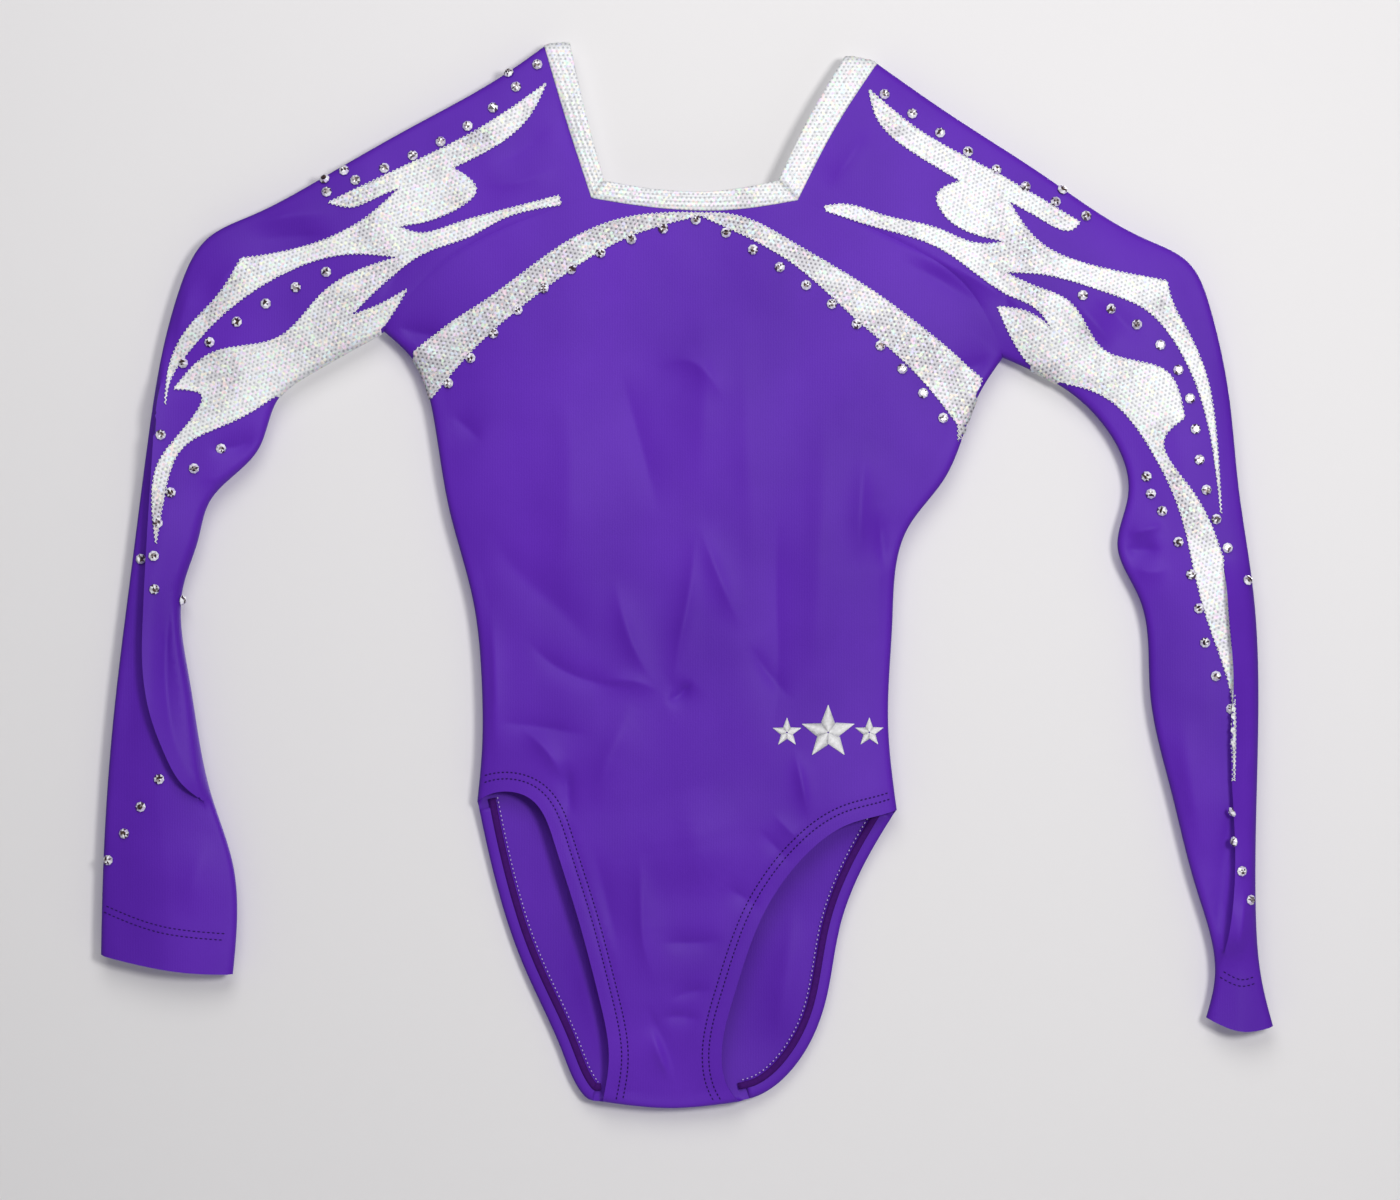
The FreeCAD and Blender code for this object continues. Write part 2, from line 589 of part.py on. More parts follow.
def export():
    """Refuse anything failed or invalid, then write one STEP file per node."""
    for item in doc.Objects:
        if "Invalid" in item.State or "Error" in item.State:
            problems.append(item.Name + " failed: " + ", ".join(item.State))
    for label in nodes:
        shape = doc.getObjectsByLabel(label)[0].Shape
        if shape.isNull() or not shape.isValid() or not shape.Solids:
            problems.append(label + " has no valid solid")
    if problems:
        raise RuntimeError("; ".join(problems))
    os.makedirs("parts", exist_ok=True)
    for label in nodes:
        shape = doc.getObjectsByLabel(label)[0].Shape
        shape.exportStep("parts/%s.step" % label)
        print("%-30s solids %3d volume %10.1f" % (label, len(shape.Solids), shape.Volume))


build()
export()
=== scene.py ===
import math
import random

import bpy
import numpy as np
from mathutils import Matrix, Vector, kdtree, noise
from mathutils.geometry import delaunay_2d_cdt


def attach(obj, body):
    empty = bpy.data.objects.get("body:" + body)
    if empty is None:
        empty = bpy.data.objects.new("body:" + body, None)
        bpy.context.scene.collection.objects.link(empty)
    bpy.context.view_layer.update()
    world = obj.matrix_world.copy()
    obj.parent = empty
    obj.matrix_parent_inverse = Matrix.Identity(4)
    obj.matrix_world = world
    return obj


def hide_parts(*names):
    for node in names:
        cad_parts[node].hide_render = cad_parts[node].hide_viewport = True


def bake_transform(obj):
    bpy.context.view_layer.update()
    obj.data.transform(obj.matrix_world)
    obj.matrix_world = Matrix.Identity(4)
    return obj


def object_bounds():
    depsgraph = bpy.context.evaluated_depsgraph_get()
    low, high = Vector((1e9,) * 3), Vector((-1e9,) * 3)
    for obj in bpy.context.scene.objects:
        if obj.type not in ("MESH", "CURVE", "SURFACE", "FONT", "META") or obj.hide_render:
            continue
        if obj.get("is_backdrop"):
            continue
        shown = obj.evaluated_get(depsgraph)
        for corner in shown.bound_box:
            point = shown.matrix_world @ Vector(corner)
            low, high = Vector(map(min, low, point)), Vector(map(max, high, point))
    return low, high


# A long-sleeved competition leotard hung flat from its shoulders: purple knit, holographic
# foil flames, bands and neck binding, rhinestones, twin-needle hems and a hip embroidery.
# Outlines are in millimetres in the row's XZ plane, as in the CAD; meshes are in metres.
# Every piece is its outline filled with points and lifted to the depth of the hung cloth.

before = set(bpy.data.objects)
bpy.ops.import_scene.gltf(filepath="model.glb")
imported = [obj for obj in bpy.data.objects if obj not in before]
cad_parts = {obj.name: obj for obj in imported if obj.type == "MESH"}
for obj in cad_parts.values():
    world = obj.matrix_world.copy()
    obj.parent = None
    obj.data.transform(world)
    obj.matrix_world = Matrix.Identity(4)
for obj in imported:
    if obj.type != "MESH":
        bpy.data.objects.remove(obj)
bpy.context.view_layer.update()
random.seed(7)

MM = 0.001
FRONT, BACK = -1, 1
STEP = 2.3

# Seams and edges of the hung garment.
RIGHT_SIDE = [(-146, -129), (-132, -143), (-123, -170), (-116, -211), (-105, -253), (-101, -290),
              (-101, -325), (-103, -346)]
LEFT_SIDE = [(140, -141), (129, -158), (113, -197), (96, -220), (89, -262), (87, -310), (91, -350)]
RIGHT_LEG_FRONT = [(-103, -346), (-98, -343), (-79, -344), (-67, -365), (-56, -400), (-46, -438),
                   (-42, -465), (-44, -480), (-45, -485)]
LEFT_LEG_FRONT = [(91, -350), (84, -352), (69, -356), (47, -372), (28, -400), (16, -434), (10, -464),
                  (13, -478), (18, -485)]
RIGHT_LEG_BACK = [(-103, -346), (-101, -356), (-82, -422), (-64, -462), (-55, -481), (-52, -484),
                  (-45, -485)]
LEFT_LEG_BACK = [(91, -350), (86, -358), (65, -404), (58, -440), (44, -469), (26, -483), (18, -485)]
CROTCH = [(-45, -485), (-14, -488), (18, -485)]
RIGHT_RAGLAN = [(-50, -68), (-95, -84), (-126, -104), (-146, -129)]
LEFT_RAGLAN = [(45, -69), (94, -89), (124, -110), (140, -141)]
NECK_SEAM = [(-50, -68), (-25, -72), (20, -73), (45, -69)]
NECK_EDGE = [(-44, -60), (-20, -64), (15, -64), (36, -60)]
RIGHT_STRAP_SEAM = [(-50, -68), (-61, -34), (-72, 3)]
RIGHT_STRAP_EDGE = [(-44, -60), (-53, -27), (-60, 4)]
LEFT_STRAP_SEAM = [(45, -69), (62, -36), (82, -5)]
LEFT_STRAP_EDGE = [(36, -60), (51, -29), (67, -2)]
NECK_DROP = 8
RIGHT_ARM_OUT = [(-72, 3), (-92, -11), (-131, -33), (-175, -58), (-207, -75), (-228, -86),
                 (-241, -110), (-249, -140), (-255, -177), (-263, -239), (-271, -305), (-276, -377),
                 (-277, -417)]
RIGHT_ARM_IN = [(-146, -129), (-180, -148), (-195, -160), (-204, -183), (-227, -208), (-232, -225),
                (-239, -247), (-236, -290), (-226, -343), (-216, -375), (-216, -426)]
RIGHT_CUFF = [(-277, -417), (-260, -421), (-236, -425), (-216, -426)]
LEFT_ARM_OUT = [(82, -5), (115, -28), (161, -58), (206, -86), (226, -97), (236, -118), (245, -161),
                (249, -200), (256, -250), (258, -320), (257, -395), (260, -430), (265, -450)]
LEFT_ARM_IN = [(140, -141), (171, -157), (190, -177), (198, -204), (193, -228), (203, -252),
               (208, -295), (218, -342), (229, -385), (238, -428), (234, -446)]
LEFT_CUFF = [(265, -450), (250, -452), (234, -446)]
RIGHT_CUFF_ROW = [(-275, -397), (-253, -405), (-218, -410)]
LEFT_CUFF_ROW = [(240, -427), (250, -431), (258, -429)]

# Foil flames and bands: each stroke runs from one point of the shape to the next.
RIGHT_FLAME = [
    [(-71, -15), (-78, -29), (-114, -54)],
    [(-114, -54), (-103, -64), (-114, -74), (-139, -81)],
    [(-139, -81), (-130, -84), (-113, -80), (-92, -74), (-65, -67)],
    [(-65, -67), (-64, -71)],
    [(-64, -71), (-92, -78), (-107, -86), (-124, -92), (-149, -110), (-161, -122)],
    [(-161, -122), (-148, -117), (-135, -110)],
    [(-135, -110), (-144, -124), (-153, -134)],
    [(-153, -134), (-180, -147), (-214, -170), (-239, -184), (-246, -203), (-250, -227)],
    [(-250, -227), (-249, -190), (-234, -170), (-229, -159), (-242, -156)],
    [(-242, -156), (-226, -140), (-194, -132), (-174, -112), (-139, -95)],
    [(-139, -95), (-164, -94), (-196, -105), (-220, -122), (-236, -139), (-244, -152), (-246, -163)],
    [(-246, -163), (-244, -143), (-236, -128), (-222, -113), (-211, -96)],
    [(-211, -96), (-181, -90), (-155, -78), (-138, -63)],
    [(-138, -63), (-150, -68), (-160, -72), (-171, -70)],
    [(-171, -70), (-138, -54), (-100, -35), (-71, -15)],
]
LEFT_FLAME = [
    [(78, -18), (100, -36), (134, -55), (175, -79)],
    [(175, -79), (172, -82), (158, -78), (142, -69)],
    [(142, -69), (156, -88), (184, -100), (215, -106)],
    [(215, -106), (217, -114), (224, -128), (233, -149), (238, -180), (240, -213)],
    [(240, -213), (234, -172), (220, -136), (205, -119), (186, -111), (157, -103), (140, -102)],
    [(140, -102), (155, -109), (170, -116), (186, -138), (215, -148), (223, -169)],
    [(223, -169), (214, -178), (226, -202), (241, -234)],
    [(241, -234), (241, -262), (245, -298), (245, -336)],
    [(245, -336), (241, -290), (231, -256), (222, -215), (207, -182), (188, -160), (158, -151)],
    [(158, -151), (146, -136), (137, -118)],
    [(137, -118), (150, -120), (162, -128)],
    [(162, -128), (155, -119), (141, -112), (110, -91), (84, -82), (58, -74)],
    [(58, -74), (57, -72)],
    [(57, -72), (66, -71), (84, -76), (109, -82), (128, -89), (141, -88)],
    [(141, -88), (125, -84), (112, -75), (109, -67), (120, -60)],
    [(120, -60), (100, -48), (81, -30), (78, -18)],
]
RIGHT_BAND = [
    [(0, -75), (-27, -76), (-44, -80), (-64, -90), (-97, -114), (-117, -127), (-132, -139)],
    [(-132, -139), (-125, -161)],
    [(-125, -161), (-105, -138), (-72, -110), (-31, -85), (0, -76)],
    [(0, -76), (0, -75)],
]
LEFT_BAND = [
    [(0, -75), (8, -75), (20, -77), (40, -87), (72, -106), (115, -138), (130, -151)],
    [(130, -151), (119, -180)],
    [(119, -180), (119, -172)],
    [(119, -172), (100, -149), (70, -122), (44, -99), (20, -85), (0, -76)],
    [(0, -76), (0, -75)],
]

# Rhinestones: a curve and how many are spaced evenly along it, or the place of a single one.
CHEST_STONES = [
    ([(-116, -153), (-75, -112), (-34, -88), (-2, -78)], 10),
    ([(12, -84), (50, -109), (84, -137), (112, -169)], 10),
]
RIGHT_SHOULDER_STONES = [
    ([(-75, -6), (-95, -26), (-132, -48), (-172, -65)], 9),
    ([(-88, -10)], 1), ([(-164, -55)], 1), ([(-173, -59)], 1),
]
LEFT_SHOULDER_STONES = [
    ([(85, -20), (111, -38), (151, -63), (178, -76)], 8),
    ([(167, -64)], 1),
]
RIGHT_SLEEVE_STONES = [
    ([(-172, -102), (-207, -121), (-238, -144)], 6),
    ([(-221, -183), (-245, -206), (-251, -248)], 6),
    ([(-250, -336), (-273, -373)], 4),
    ([(-248, -177)], 1), ([(-259, -234)], 1), ([(-240, -253)], 1),
]
LEFT_SLEEVE_STONES = [
    ([(176, -113), (204, -128), (225, -158), (230, -189), (243, -229)], 11),
    ([(213, -212), (226, -241), (232, -273), (242, -303)], 7),
    ([(245, -350), (246, -364), (253, -391)], 4),
    ([(252, -244)], 1), ([(206, -196)], 1), ([(208, -204)], 1),
]
STONE_RADIUS = 2.4
STARS = [((40, -314), 7), ((59, -314), 13), ((78, -314), 7)]
# Twin-needle rows: their distances from a leg's edge.
HEM_ROWS = (5.9, 8.9)

# How the cloth hangs: rounding of a folded edge, how far it bellies out, how soon.
EDGE_ROUND = 2.6
FULLNESS = {FRONT: 5.0, BACK: 2.6}
REACH = 20.0
# The cloth flattens out over this distance from a folded edge.
QUIET = 7
# Folds: path, half width, height before it is scaled. A negative height is a hollow.
FOLD_DEPTH = 1.5
FRONT_FOLDS = [
    ([(-50, -484), (-14, -487), (22, -484)], 20, -4.0),
    ([(43, -320), (47, -338), (50, -355)], 3.0, 1.6),
    ([(-23, -448), (-18, -464), (-11, -479)], 3.5, 2.0),
    ([(-62, -326), (-61, -340), (-60, -357)], 2.5, -1.6),
    ([(-40, -240), (-36, -258), (-29, -278), (-18, -295)], 5, 1.7),
    ([(-2, -216), (-5, -250), (-10, -276), (-13, -298)], 4, 1.5),
    ([(-2, -214), (4, -230), (11, -248), (20, -268)], 5, 1.6),
    ([(-16, -300), (-11, -298), (-4, -290)], 3, -2.0),
    ([(-50, -292), (-32, -290), (-16, -297)], 4, 1.2),
    ([(-82, -268), (-70, -281), (-52, -290), (-30, -294)], 4, -1.4),
    ([(-100, -215), (-84, -240), (-64, -258), (-45, -280)], 9, -1.8),
    ([(-30, -296), (-36, -312), (-44, -332), (-46, -352)], 7, 1.8),
    ([(-10, -340), (-2, -366), (0, -392)], 22, 2.6),
    ([(-97, -309), (-72, -312), (-48, -316)], 4, -1.2),
    ([(-84, -311), (-70, -323), (-62, -338)], 4, 1.6),
    ([(-97, -250), (-95, -290), (-97, -330)], 5, 1.4),
    ([(37, -207), (35, -250), (35, -299), (31, -322)], 6, -1.4),
    ([(22, -272), (34, -290), (44, -300)], 4, -1.3),
    ([(76, -178), (74, -208), (73, -240)], 6, 1.8),
    ([(82, -210), (84, -226), (86, -242)], 3.5, -1.2),
    ([(58, -150), (56, -220), (52, -300)], 12, 1.8),
    ([(20, -110), (22, -180), (24, -250)], 11, 1.4),
    ([(-37, -145), (-28, -179), (-18, -216)], 6, -1.5),
    ([(0, -110), (2, -160), (-2, -212)], 10, 1.4),
    ([(-21, -147), (-5, -143), (7, -154), (12, -163)], 5, 1.2),
    ([(-116, -166), (-107, -174), (-99, -181)], 4, -1.2),
    ([(-64, -150), (-60, -200), (-66, -250)], 12, 1.6),
    ([(-28, -366), (-27, -388), (-26, -410), (-20, -432)], 4.5, 1.7),
    ([(-20, -410), (-4, -411), (12, -409)], 4, -1.3),
    ([(-20, -446), (-9, -445), (2, -447)], 4, -1.4),
    ([(-16, -438), (-6, -434), (8, -433)], 4, -1.1),
    ([(-26, -438), (-19, -452), (-13, -468), (-10, -484)], 4, -1.8),
    ([(-50, -362), (-44, -388), (-36, -420)], 6, -1.3),
    ([(26, -358), (35, -367), (43, -376)], 3, -0.9),
    ([(32, -350), (41, -359), (49, -368)], 3, 0.8),
    ([(10, -384), (20, -390), (30, -397)], 3.5, -0.9),
    ([(-142, -126), (-130, -130), (-114, -131)], 4, -1.8),
    ([(-139, -132), (-128, -139), (-115, -143)], 4, 1.4),
    ([(137, -142), (126, -146), (112, -147)], 4, -1.8),
    ([(-67, -16), (-62, -36), (-55, -56)], 5, -1.4),
    ([(-66, -32), (-80, -44), (-98, -54)], 6, -1.4),
    ([(-62, -50), (-80, -60), (-100, -62)], 5, 1.1),
    ([(-120, -84), (-135, -96), (-148, -118)], 5, -1.5),
    ([(128, -90), (138, -108), (146, -130)], 5, -1.5),
    ([(78, -34), (70, -48), (58, -64)], 5, 1.4),
    ([(88, -88), (118, -101), (140, -113), (156, -124)], 5, 1.6),
    ([(90, -96), (115, -108), (135, -122)], 5, -1.4),
    ([(-214, -80), (-195, -77), (-165, -74)], 6, 1.6),
    ([(-212, -88), (-192, -86), (-165, -85)], 6, -1.6),
    ([(-200, -92), (-216, -102), (-226, -118)], 6, 1.5),
    ([(-233, -100), (-239, -120), (-243, -142)], 5, 1.3),
    ([(168, -112), (180, -124), (192, -138)], 6, 1.6),
    ([(180, -112), (196, -126), (206, -138)], 6, -1.4),
    ([(-198, -176), (-212, -182), (-228, -184)], 4, -1.9),
    ([(-202, -190), (-216, -196), (-232, -198)], 4, 1.5),
    ([(-232, -214), (-243, -255), (-246, -276), (-245, -301), (-239, -325), (-229, -343)], 4, -1.8),
    ([(-256, -150), (-259, -200), (-264, -270), (-264, -340)], 8, -2.2),
    ([(-226, -360), (-232, -380), (-236, -400)], 7, 1.4),
    ([(194, -229), (203, -230), (213, -229)], 4, -2.3),
    ([(194, -222), (204, -221), (215, -217)], 4, 1.7),
    ([(197, -238), (208, -240), (218, -238)], 5, 1.3),
    ([(222, -300), (226, -340), (232, -380)], 8, 1.8),
    ([(241, -345), (241, -370), (239, -396), (237, -424)], 3.5, -3.4),
    ([(252, -384), (249, -400), (247, -420)], 4, 1.7),
]
BACK_FOLDS = [
    ([(-30, -150), (-24, -240), (-34, -330)], 16, 1.8),
    ([(30, -150), (26, -240), (34, -330)], 16, 1.5),
    ([(0, -120), (2, -200), (-4, -300)], 10, -1.6),
    ([(-90, -250), (-88, -300), (-92, -340)], 6, 1.2),
    ([(-60, -400), (-50, -440), (-44, -470)], 5, -2.0),
    ([(44, -390), (40, -430), (34, -462)], 5, -2.0),
    ([(-142, -126), (-130, -131), (-116, -131)], 3, -1.6),
    ([(137, -142), (126, -146), (114, -147)], 3, -1.6),
    ([(-200, -180), (-216, -186), (-232, -188)], 4, -1.6),
    ([(194, -229), (206, -230), (220, -227)], 4, -1.6),
    ([(-250, -260), (-252, -330), (-246, -390)], 5, 1.4),
    ([(238, -250), (242, -320), (245, -390)], 5, 1.4),
]
# Pleats: path down the sleeve, height of the raised flap, how far back it slopes. The flap
# hangs over the cloth beside it, which is drawn in under it by up to TUCK.
TUCK = 4.0
LIP = 0.8
PLEAT_FADE = 0.1
FRONT_PLEATS = [
    ([(-249, -140), (-251, -175), (-254, -222), (-256, -262), (-256, -284), (-252, -307),
      (-246, -323), (-239, -336), (-223, -350)], 7.0, 14),
    ([(241, -232), (243, -262), (245, -290), (244, -317), (245, -350), (246, -375), (244, -400),
      (240, -424)], 5.5, 14),
]


def spline(points):
    """Points 0.5 mm apart on the smooth curve through some points, or on a straight line."""
    given = np.array(points, float)
    gaps = np.linalg.norm(np.diff(given, axis=0), axis=1)
    along = np.concatenate([[0], np.cumsum(gaps)])
    places = np.linspace(0, along[-1], max(3, int(along[-1] / 0.5)))
    if len(given) == 2:
        return given[0] + (given[1] - given[0]) * (places / along[-1])[:, None]
    count = len(given)
    system, pull = np.eye(count), np.zeros((count, 2))
    slopes = np.diff(given, axis=0) / gaps[:, None]
    for index in range(1, count - 1):
        before, after = gaps[index - 1:index + 1]
        system[index, index - 1:index + 2] = before / 6, (before + after) / 3, after / 6
        pull[index] = slopes[index] - slopes[index - 1]
    bend = np.linalg.solve(system, pull)
    piece = np.clip(np.searchsorted(along, places) - 1, 0, count - 2)
    gap = gaps[piece][:, None]
    share = (places - along[piece])[:, None] / gap
    rest = 1 - share
    return (rest * given[piece] + share * given[piece + 1]
            + ((rest ** 3 - rest) * bend[piece]
               + (share ** 3 - share) * bend[piece + 1]) * gap ** 2 / 6)


def resampled(line, places):
    """Points on a line at some lengths along it."""
    along = np.concatenate([[0], np.cumsum(np.linalg.norm(np.diff(line, axis=0), axis=1))])
    places = np.clip(places, 0, along[-1])
    return np.column_stack([np.interp(places, along, line[:, axis]) for axis in (0, 1)])


def length_of(line):
    return float(np.linalg.norm(np.diff(line, axis=0), axis=1).sum())


def curve(points, step):
    """Evenly spaced points, about a step apart, on the smooth curve through some points."""
    line = spline(points)
    length = length_of(line)
    return resampled(line, np.linspace(0, length, max(2, int(round(length / step)) + 1)))


def spread(points, count):
    """A number of evenly spaced points on a smooth curve, its ends included, or a single point."""
    if count == 1:
        return np.array(points, float)
    line = spline(points)
    return resampled(line, np.linspace(0, length_of(line), count))


def closed(strokes, step):
    """The points round a closed outline. Each stroke is sampled alone, so corners stay sharp."""
    return np.vstack([curve(stroke, step)[:-1] for stroke in strokes])


def sideways(line):
    """The unit direction to the left of travel at every point of a line."""
    run = np.gradient(line, axis=0)
    run /= np.maximum(np.linalg.norm(run, axis=1, keepdims=True), 1e-9)
    return np.column_stack([-run[:, 1], run[:, 0]])


def parallel(points, distance):
    """A curve moved to the left of its direction of travel."""
    line = spline(points)
    return line + sideways(line) * distance


class Track:
    """A line that places can be measured against."""

    def __init__(self, lines):
        self.points = np.vstack(lines)
        self.left = np.vstack([sideways(line) for line in lines])
        self.share = np.concatenate([np.linspace(0, 1, len(line)) for line in lines])
        self.tree = kdtree.KDTree(len(self.points))
        for index, (x, z) in enumerate(self.points):
            self.tree.insert((x, z, 0), index)
        self.tree.balance()

    def distance(self, points):
        return np.array([self.tree.find((x, z, 0))[2] for x, z in points])

    def nearest(self, points):
        found = np.array([self.tree.find((x, z, 0))[1] for x, z in points], int)
        return found, points - self.points[found]

    def inward(self, points):
        """Distance to the left of the line, and the unit direction straight away from it."""
        found, offset = self.nearest(points)
        left = self.left[found]
        along = np.column_stack([left[:, 1], -left[:, 0]])
        slip = (offset * along).sum(1)
        slip = np.sign(slip) * np.maximum(np.abs(slip) - 0.3, 0)
        away = left * np.maximum((offset * left).sum(1), 1e-6)[:, None] + along * slip[:, None]
        gap = np.linalg.norm(away, axis=1)
        return gap, away / gap[:, None]

    def snapped(self, points, reach):
        """The points, with those outside the line or within a reach of it moved onto it."""
        found, offset = self.nearest(points)
        across = (offset * self.left[found]).sum(1)
        beside = np.linalg.norm(offset, axis=1) < np.abs(across) + 0.6
        near = beside & (across < reach) & (across > -6)
        return np.where(near[:, None], points - self.left[found] * across[:, None], points)

    def measure(self, points):
        """Signed distance, positive to the left of travel, and the share of the way along."""
        found, offset = self.nearest(points)
        across = (offset * self.left[found]).sum(1)
        away = np.linalg.norm(offset, axis=1)
        return np.where(across < 0, -away, away), self.share[found]

    def within(self, points, reach):
        low, high = self.points.min(0) - reach, self.points.max(0) + reach
        return ((points > low) & (points < high)).all(1)


# Folded edges of the garment, each with the cloth to the left of its direction of travel.
FOLDED = Track([spline(line) for line in (
    RIGHT_SIDE, LEFT_SIDE[::-1], CROTCH, RIGHT_ARM_OUT, RIGHT_ARM_IN[::-1], LEFT_ARM_OUT[::-1],
    LEFT_ARM_IN,
    [RIGHT_STRAP_EDGE[-1], RIGHT_STRAP_SEAM[-1]], [LEFT_STRAP_SEAM[-1], LEFT_STRAP_EDGE[-1]])])
SEAMS = [(Track([spline(line)]), 1.1, -0.8) for line in (RIGHT_RAGLAN, LEFT_RAGLAN)]
SEWN_HEMS = [(Track([parallel(edge, turn * reach)]), 0.8, -0.5) for reach in HEM_ROWS
             for edge, turn in ((RIGHT_LEG_FRONT, 1), (LEFT_LEG_FRONT, -1))]
FOLDS = {
    facing: SEAMS + [(Track([spline(path)]), width, FOLD_DEPTH * height)
                     for path, width, height in paths]
    for facing, paths in ((FRONT, FRONT_FOLDS), (BACK, BACK_FOLDS))
}
FOLDS[FRONT] += SEWN_HEMS
PLEATS = {
    FRONT: [(Track([spline(path)]), height, slope) for path, height, slope in FRONT_PLEATS],
    BACK: [],
}


def fade(share, ends):
    """1 along a line, falling smoothly to 0 over a share of its length at each end."""
    reach = np.clip(np.minimum(share, 1 - share) / ends, 0, 1)
    return reach * reach * (3 - 2 * reach)


def relief(points, facing, gap):
    """Folds, pleats and unevenness of the cloth, dying out at the folded edges."""
    height = np.array([
        1.3 * noise.noise(Vector((x / 46, z / 75, 3.0 * facing)))
        + 0.3 * noise.noise(Vector((x / 17, z / 24, 9.0 + facing))) for x, z in points])
    for track, width, high in FOLDS[facing]:
        close = track.within(points, 4 * width)
        if close.any():
            away, share = track.measure(points[close])
            soft = 0.2 * width
            ridge = np.exp((soft - np.hypot(away, soft)) / width)
            height[close] += high * ridge * fade(share, 0.45)
    height *= np.clip(gap / QUIET, 0, 1)
    for track, high, slope in PLEATS[facing]:
        close = track.within(points, 3 * slope)
        if close.any():
            away, share = track.measure(points[close])
            lip = np.exp(np.where(away > 0, -away / slope, away / LIP))
            height[close] += high * lip * fade(share, PLEAT_FADE) * np.clip(gap[close] / 3, 0, 1)
    deepest = np.maximum(0.65 * rounding(gap, facing), 1e-6)
    return np.where(height < 0, -deepest * np.tanh(-height / deepest), height)


def tucked(points, facing, gap):
    """The points, with the cloth beside each pleat drawn in under its flap."""
    moved = points.copy()
    for track, _, _ in PLEATS[facing]:
        close = track.within(points, 24)
        if close.any():
            found, _ = track.nearest(points[close])
            away, share = track.measure(points[close])
            under = np.minimum(away, 0)
            pull = TUCK * (1 - np.exp(under / LIP)) * np.exp(under / 7) * fade(share, PLEAT_FADE)
            moved[close] += track.left[found] * (pull * np.clip(gap[close] / QUIET, 0, 1))[:, None]
    return moved


def rounding(gap, facing):
    """Height of the cloth over the middle of the garment at a distance from its folded edge."""
    near = np.clip(gap / EDGE_ROUND, 0, 1)
    return (EDGE_ROUND * np.sqrt(1 - (1 - near) ** 2)
            + FULLNESS[facing] * (1 - np.exp(-gap / REACH)))


def steepness(gap, facing):
    """Slope of the rounding, straight away from the folded edge."""
    near = np.clip(gap / EDGE_ROUND, 1e-4, 1)
    return ((1 - near) / np.sqrt(1 - (1 - near) ** 2)
            + FULLNESS[facing] / REACH * np.exp(-gap / REACH))


PROBE = 0.4


def place_on(points, facing, lift=0.0):
    """3-D places on the hung cloth, in metres, lifted off it square to its surface."""
    points = np.asarray(points, float)
    gap, away = FOLDED.inward(points)
    here = rounding(gap, facing) + relief(points, facing, gap)
    foot = tucked(points, facing, gap)
    if lift:
        steep = away * steepness(gap, facing)[:, None]
        for axis, step in enumerate(PROBE * np.eye(2)):
            before, after = (relief(moved, facing, FOLDED.inward(moved)[0])
                             for moved in (points - step, points + step))
            steep[:, axis] += (after - before) / (2 * PROBE)
        size = np.sqrt(1 + (steep ** 2).sum(1))
        foot = foot - (lift / size)[:, None] * steep
        here = here + lift / size
    return np.column_stack([foot[:, 0], facing * here, foot[:, 1]]) * MM


def inside(points, outline):
    """Which points lie inside a closed outline."""
    odd = np.zeros(len(points), bool)
    x, z = points[:, 0], points[:, 1]
    for (x0, z0), (x1, z1) in zip(outline, np.roll(outline, -1, axis=0)):
        if z0 != z1:
            odd ^= ((z0 > z) != (z1 > z)) & (x < (x1 - x0) * (z - z0) / (z1 - z0) + x0)
    return odd


def fill(outline, step, rows=(), creases=()):
    """Triangles over a closed outline, with rows of points inside its edge and beside creases."""
    low, high = outline.min(0), outline.max(0)
    grid = np.array([
        (x, z) for count, z in enumerate(np.arange(low[1], high[1], step * 0.87))
        for x in np.arange(low[0] + step / 2 * (count % 2), high[0], step)])
    grid = grid[inside(grid, outline)]
    edge = Track([spline([outline[index - 1], outline[index]]) for index in range(len(outline))])
    deepest = max(rows) if rows else 0
    grid = grid[edge.distance(grid) > deepest + 0.6 * step]
    normal = sideways(np.vstack([outline[-1:], outline, outline[:1]]))[1:-1]
    if inside(outline + normal * 0.3, outline).mean() < 0.5:
        normal = -normal
    extra = []
    for row in rows:
        moved = outline + normal * row
        moved = moved[inside(moved, outline)]
        extra.append(moved[edge.distance(moved) > 0.9 * row])
    for track, offsets in creases:
        lines = np.vstack([(track.points + track.left * offset)[::3] for offset in offsets])
        lines = lines[inside(lines, outline)]
        if len(lines) and len(extra) > len(rows):
            lines = lines[Track(extra[len(rows):]).distance(lines) > 0.6]
        if len(lines):
            lines = lines[edge.distance(lines) > deepest + 0.5]
        if len(lines) > 2:
            grid = grid[Track([lines]).distance(grid) > 0.9]
            extra.append(lines)
    flat = np.vstack([outline, grid, *extra])
    edges = [(index, (index + 1) % len(outline)) for index in range(len(outline))]
    found = delaunay_2d_cdt([Vector(place) for place in flat], edges, [], 1, 1e-4)
    places, faces = np.array([tuple(place) for place in found[0]]), found[2]
    wound = []
    for face in faces:
        a, b, c = (places[index] for index in face[:3])
        turn = (b[0] - a[0]) * (c[1] - a[1]) - (b[1] - a[1]) * (c[0] - a[0])
        wound.append(tuple(face) if turn > 0 else tuple(face[::-1]))
    return places, wound


def make(name, places, faces, material, smooth=True):
    mesh = bpy.data.meshes.new(name)
    mesh.from_pydata([tuple(place) for place in places], [], faces)
    mesh.validate()
    mesh.polygons.foreach_set("use_smooth", [smooth] * len(mesh.polygons))
    mesh.materials.append(material)
    piece = bpy.data.objects.new(name, mesh)
    bpy.context.collection.objects.link(piece)
    return piece


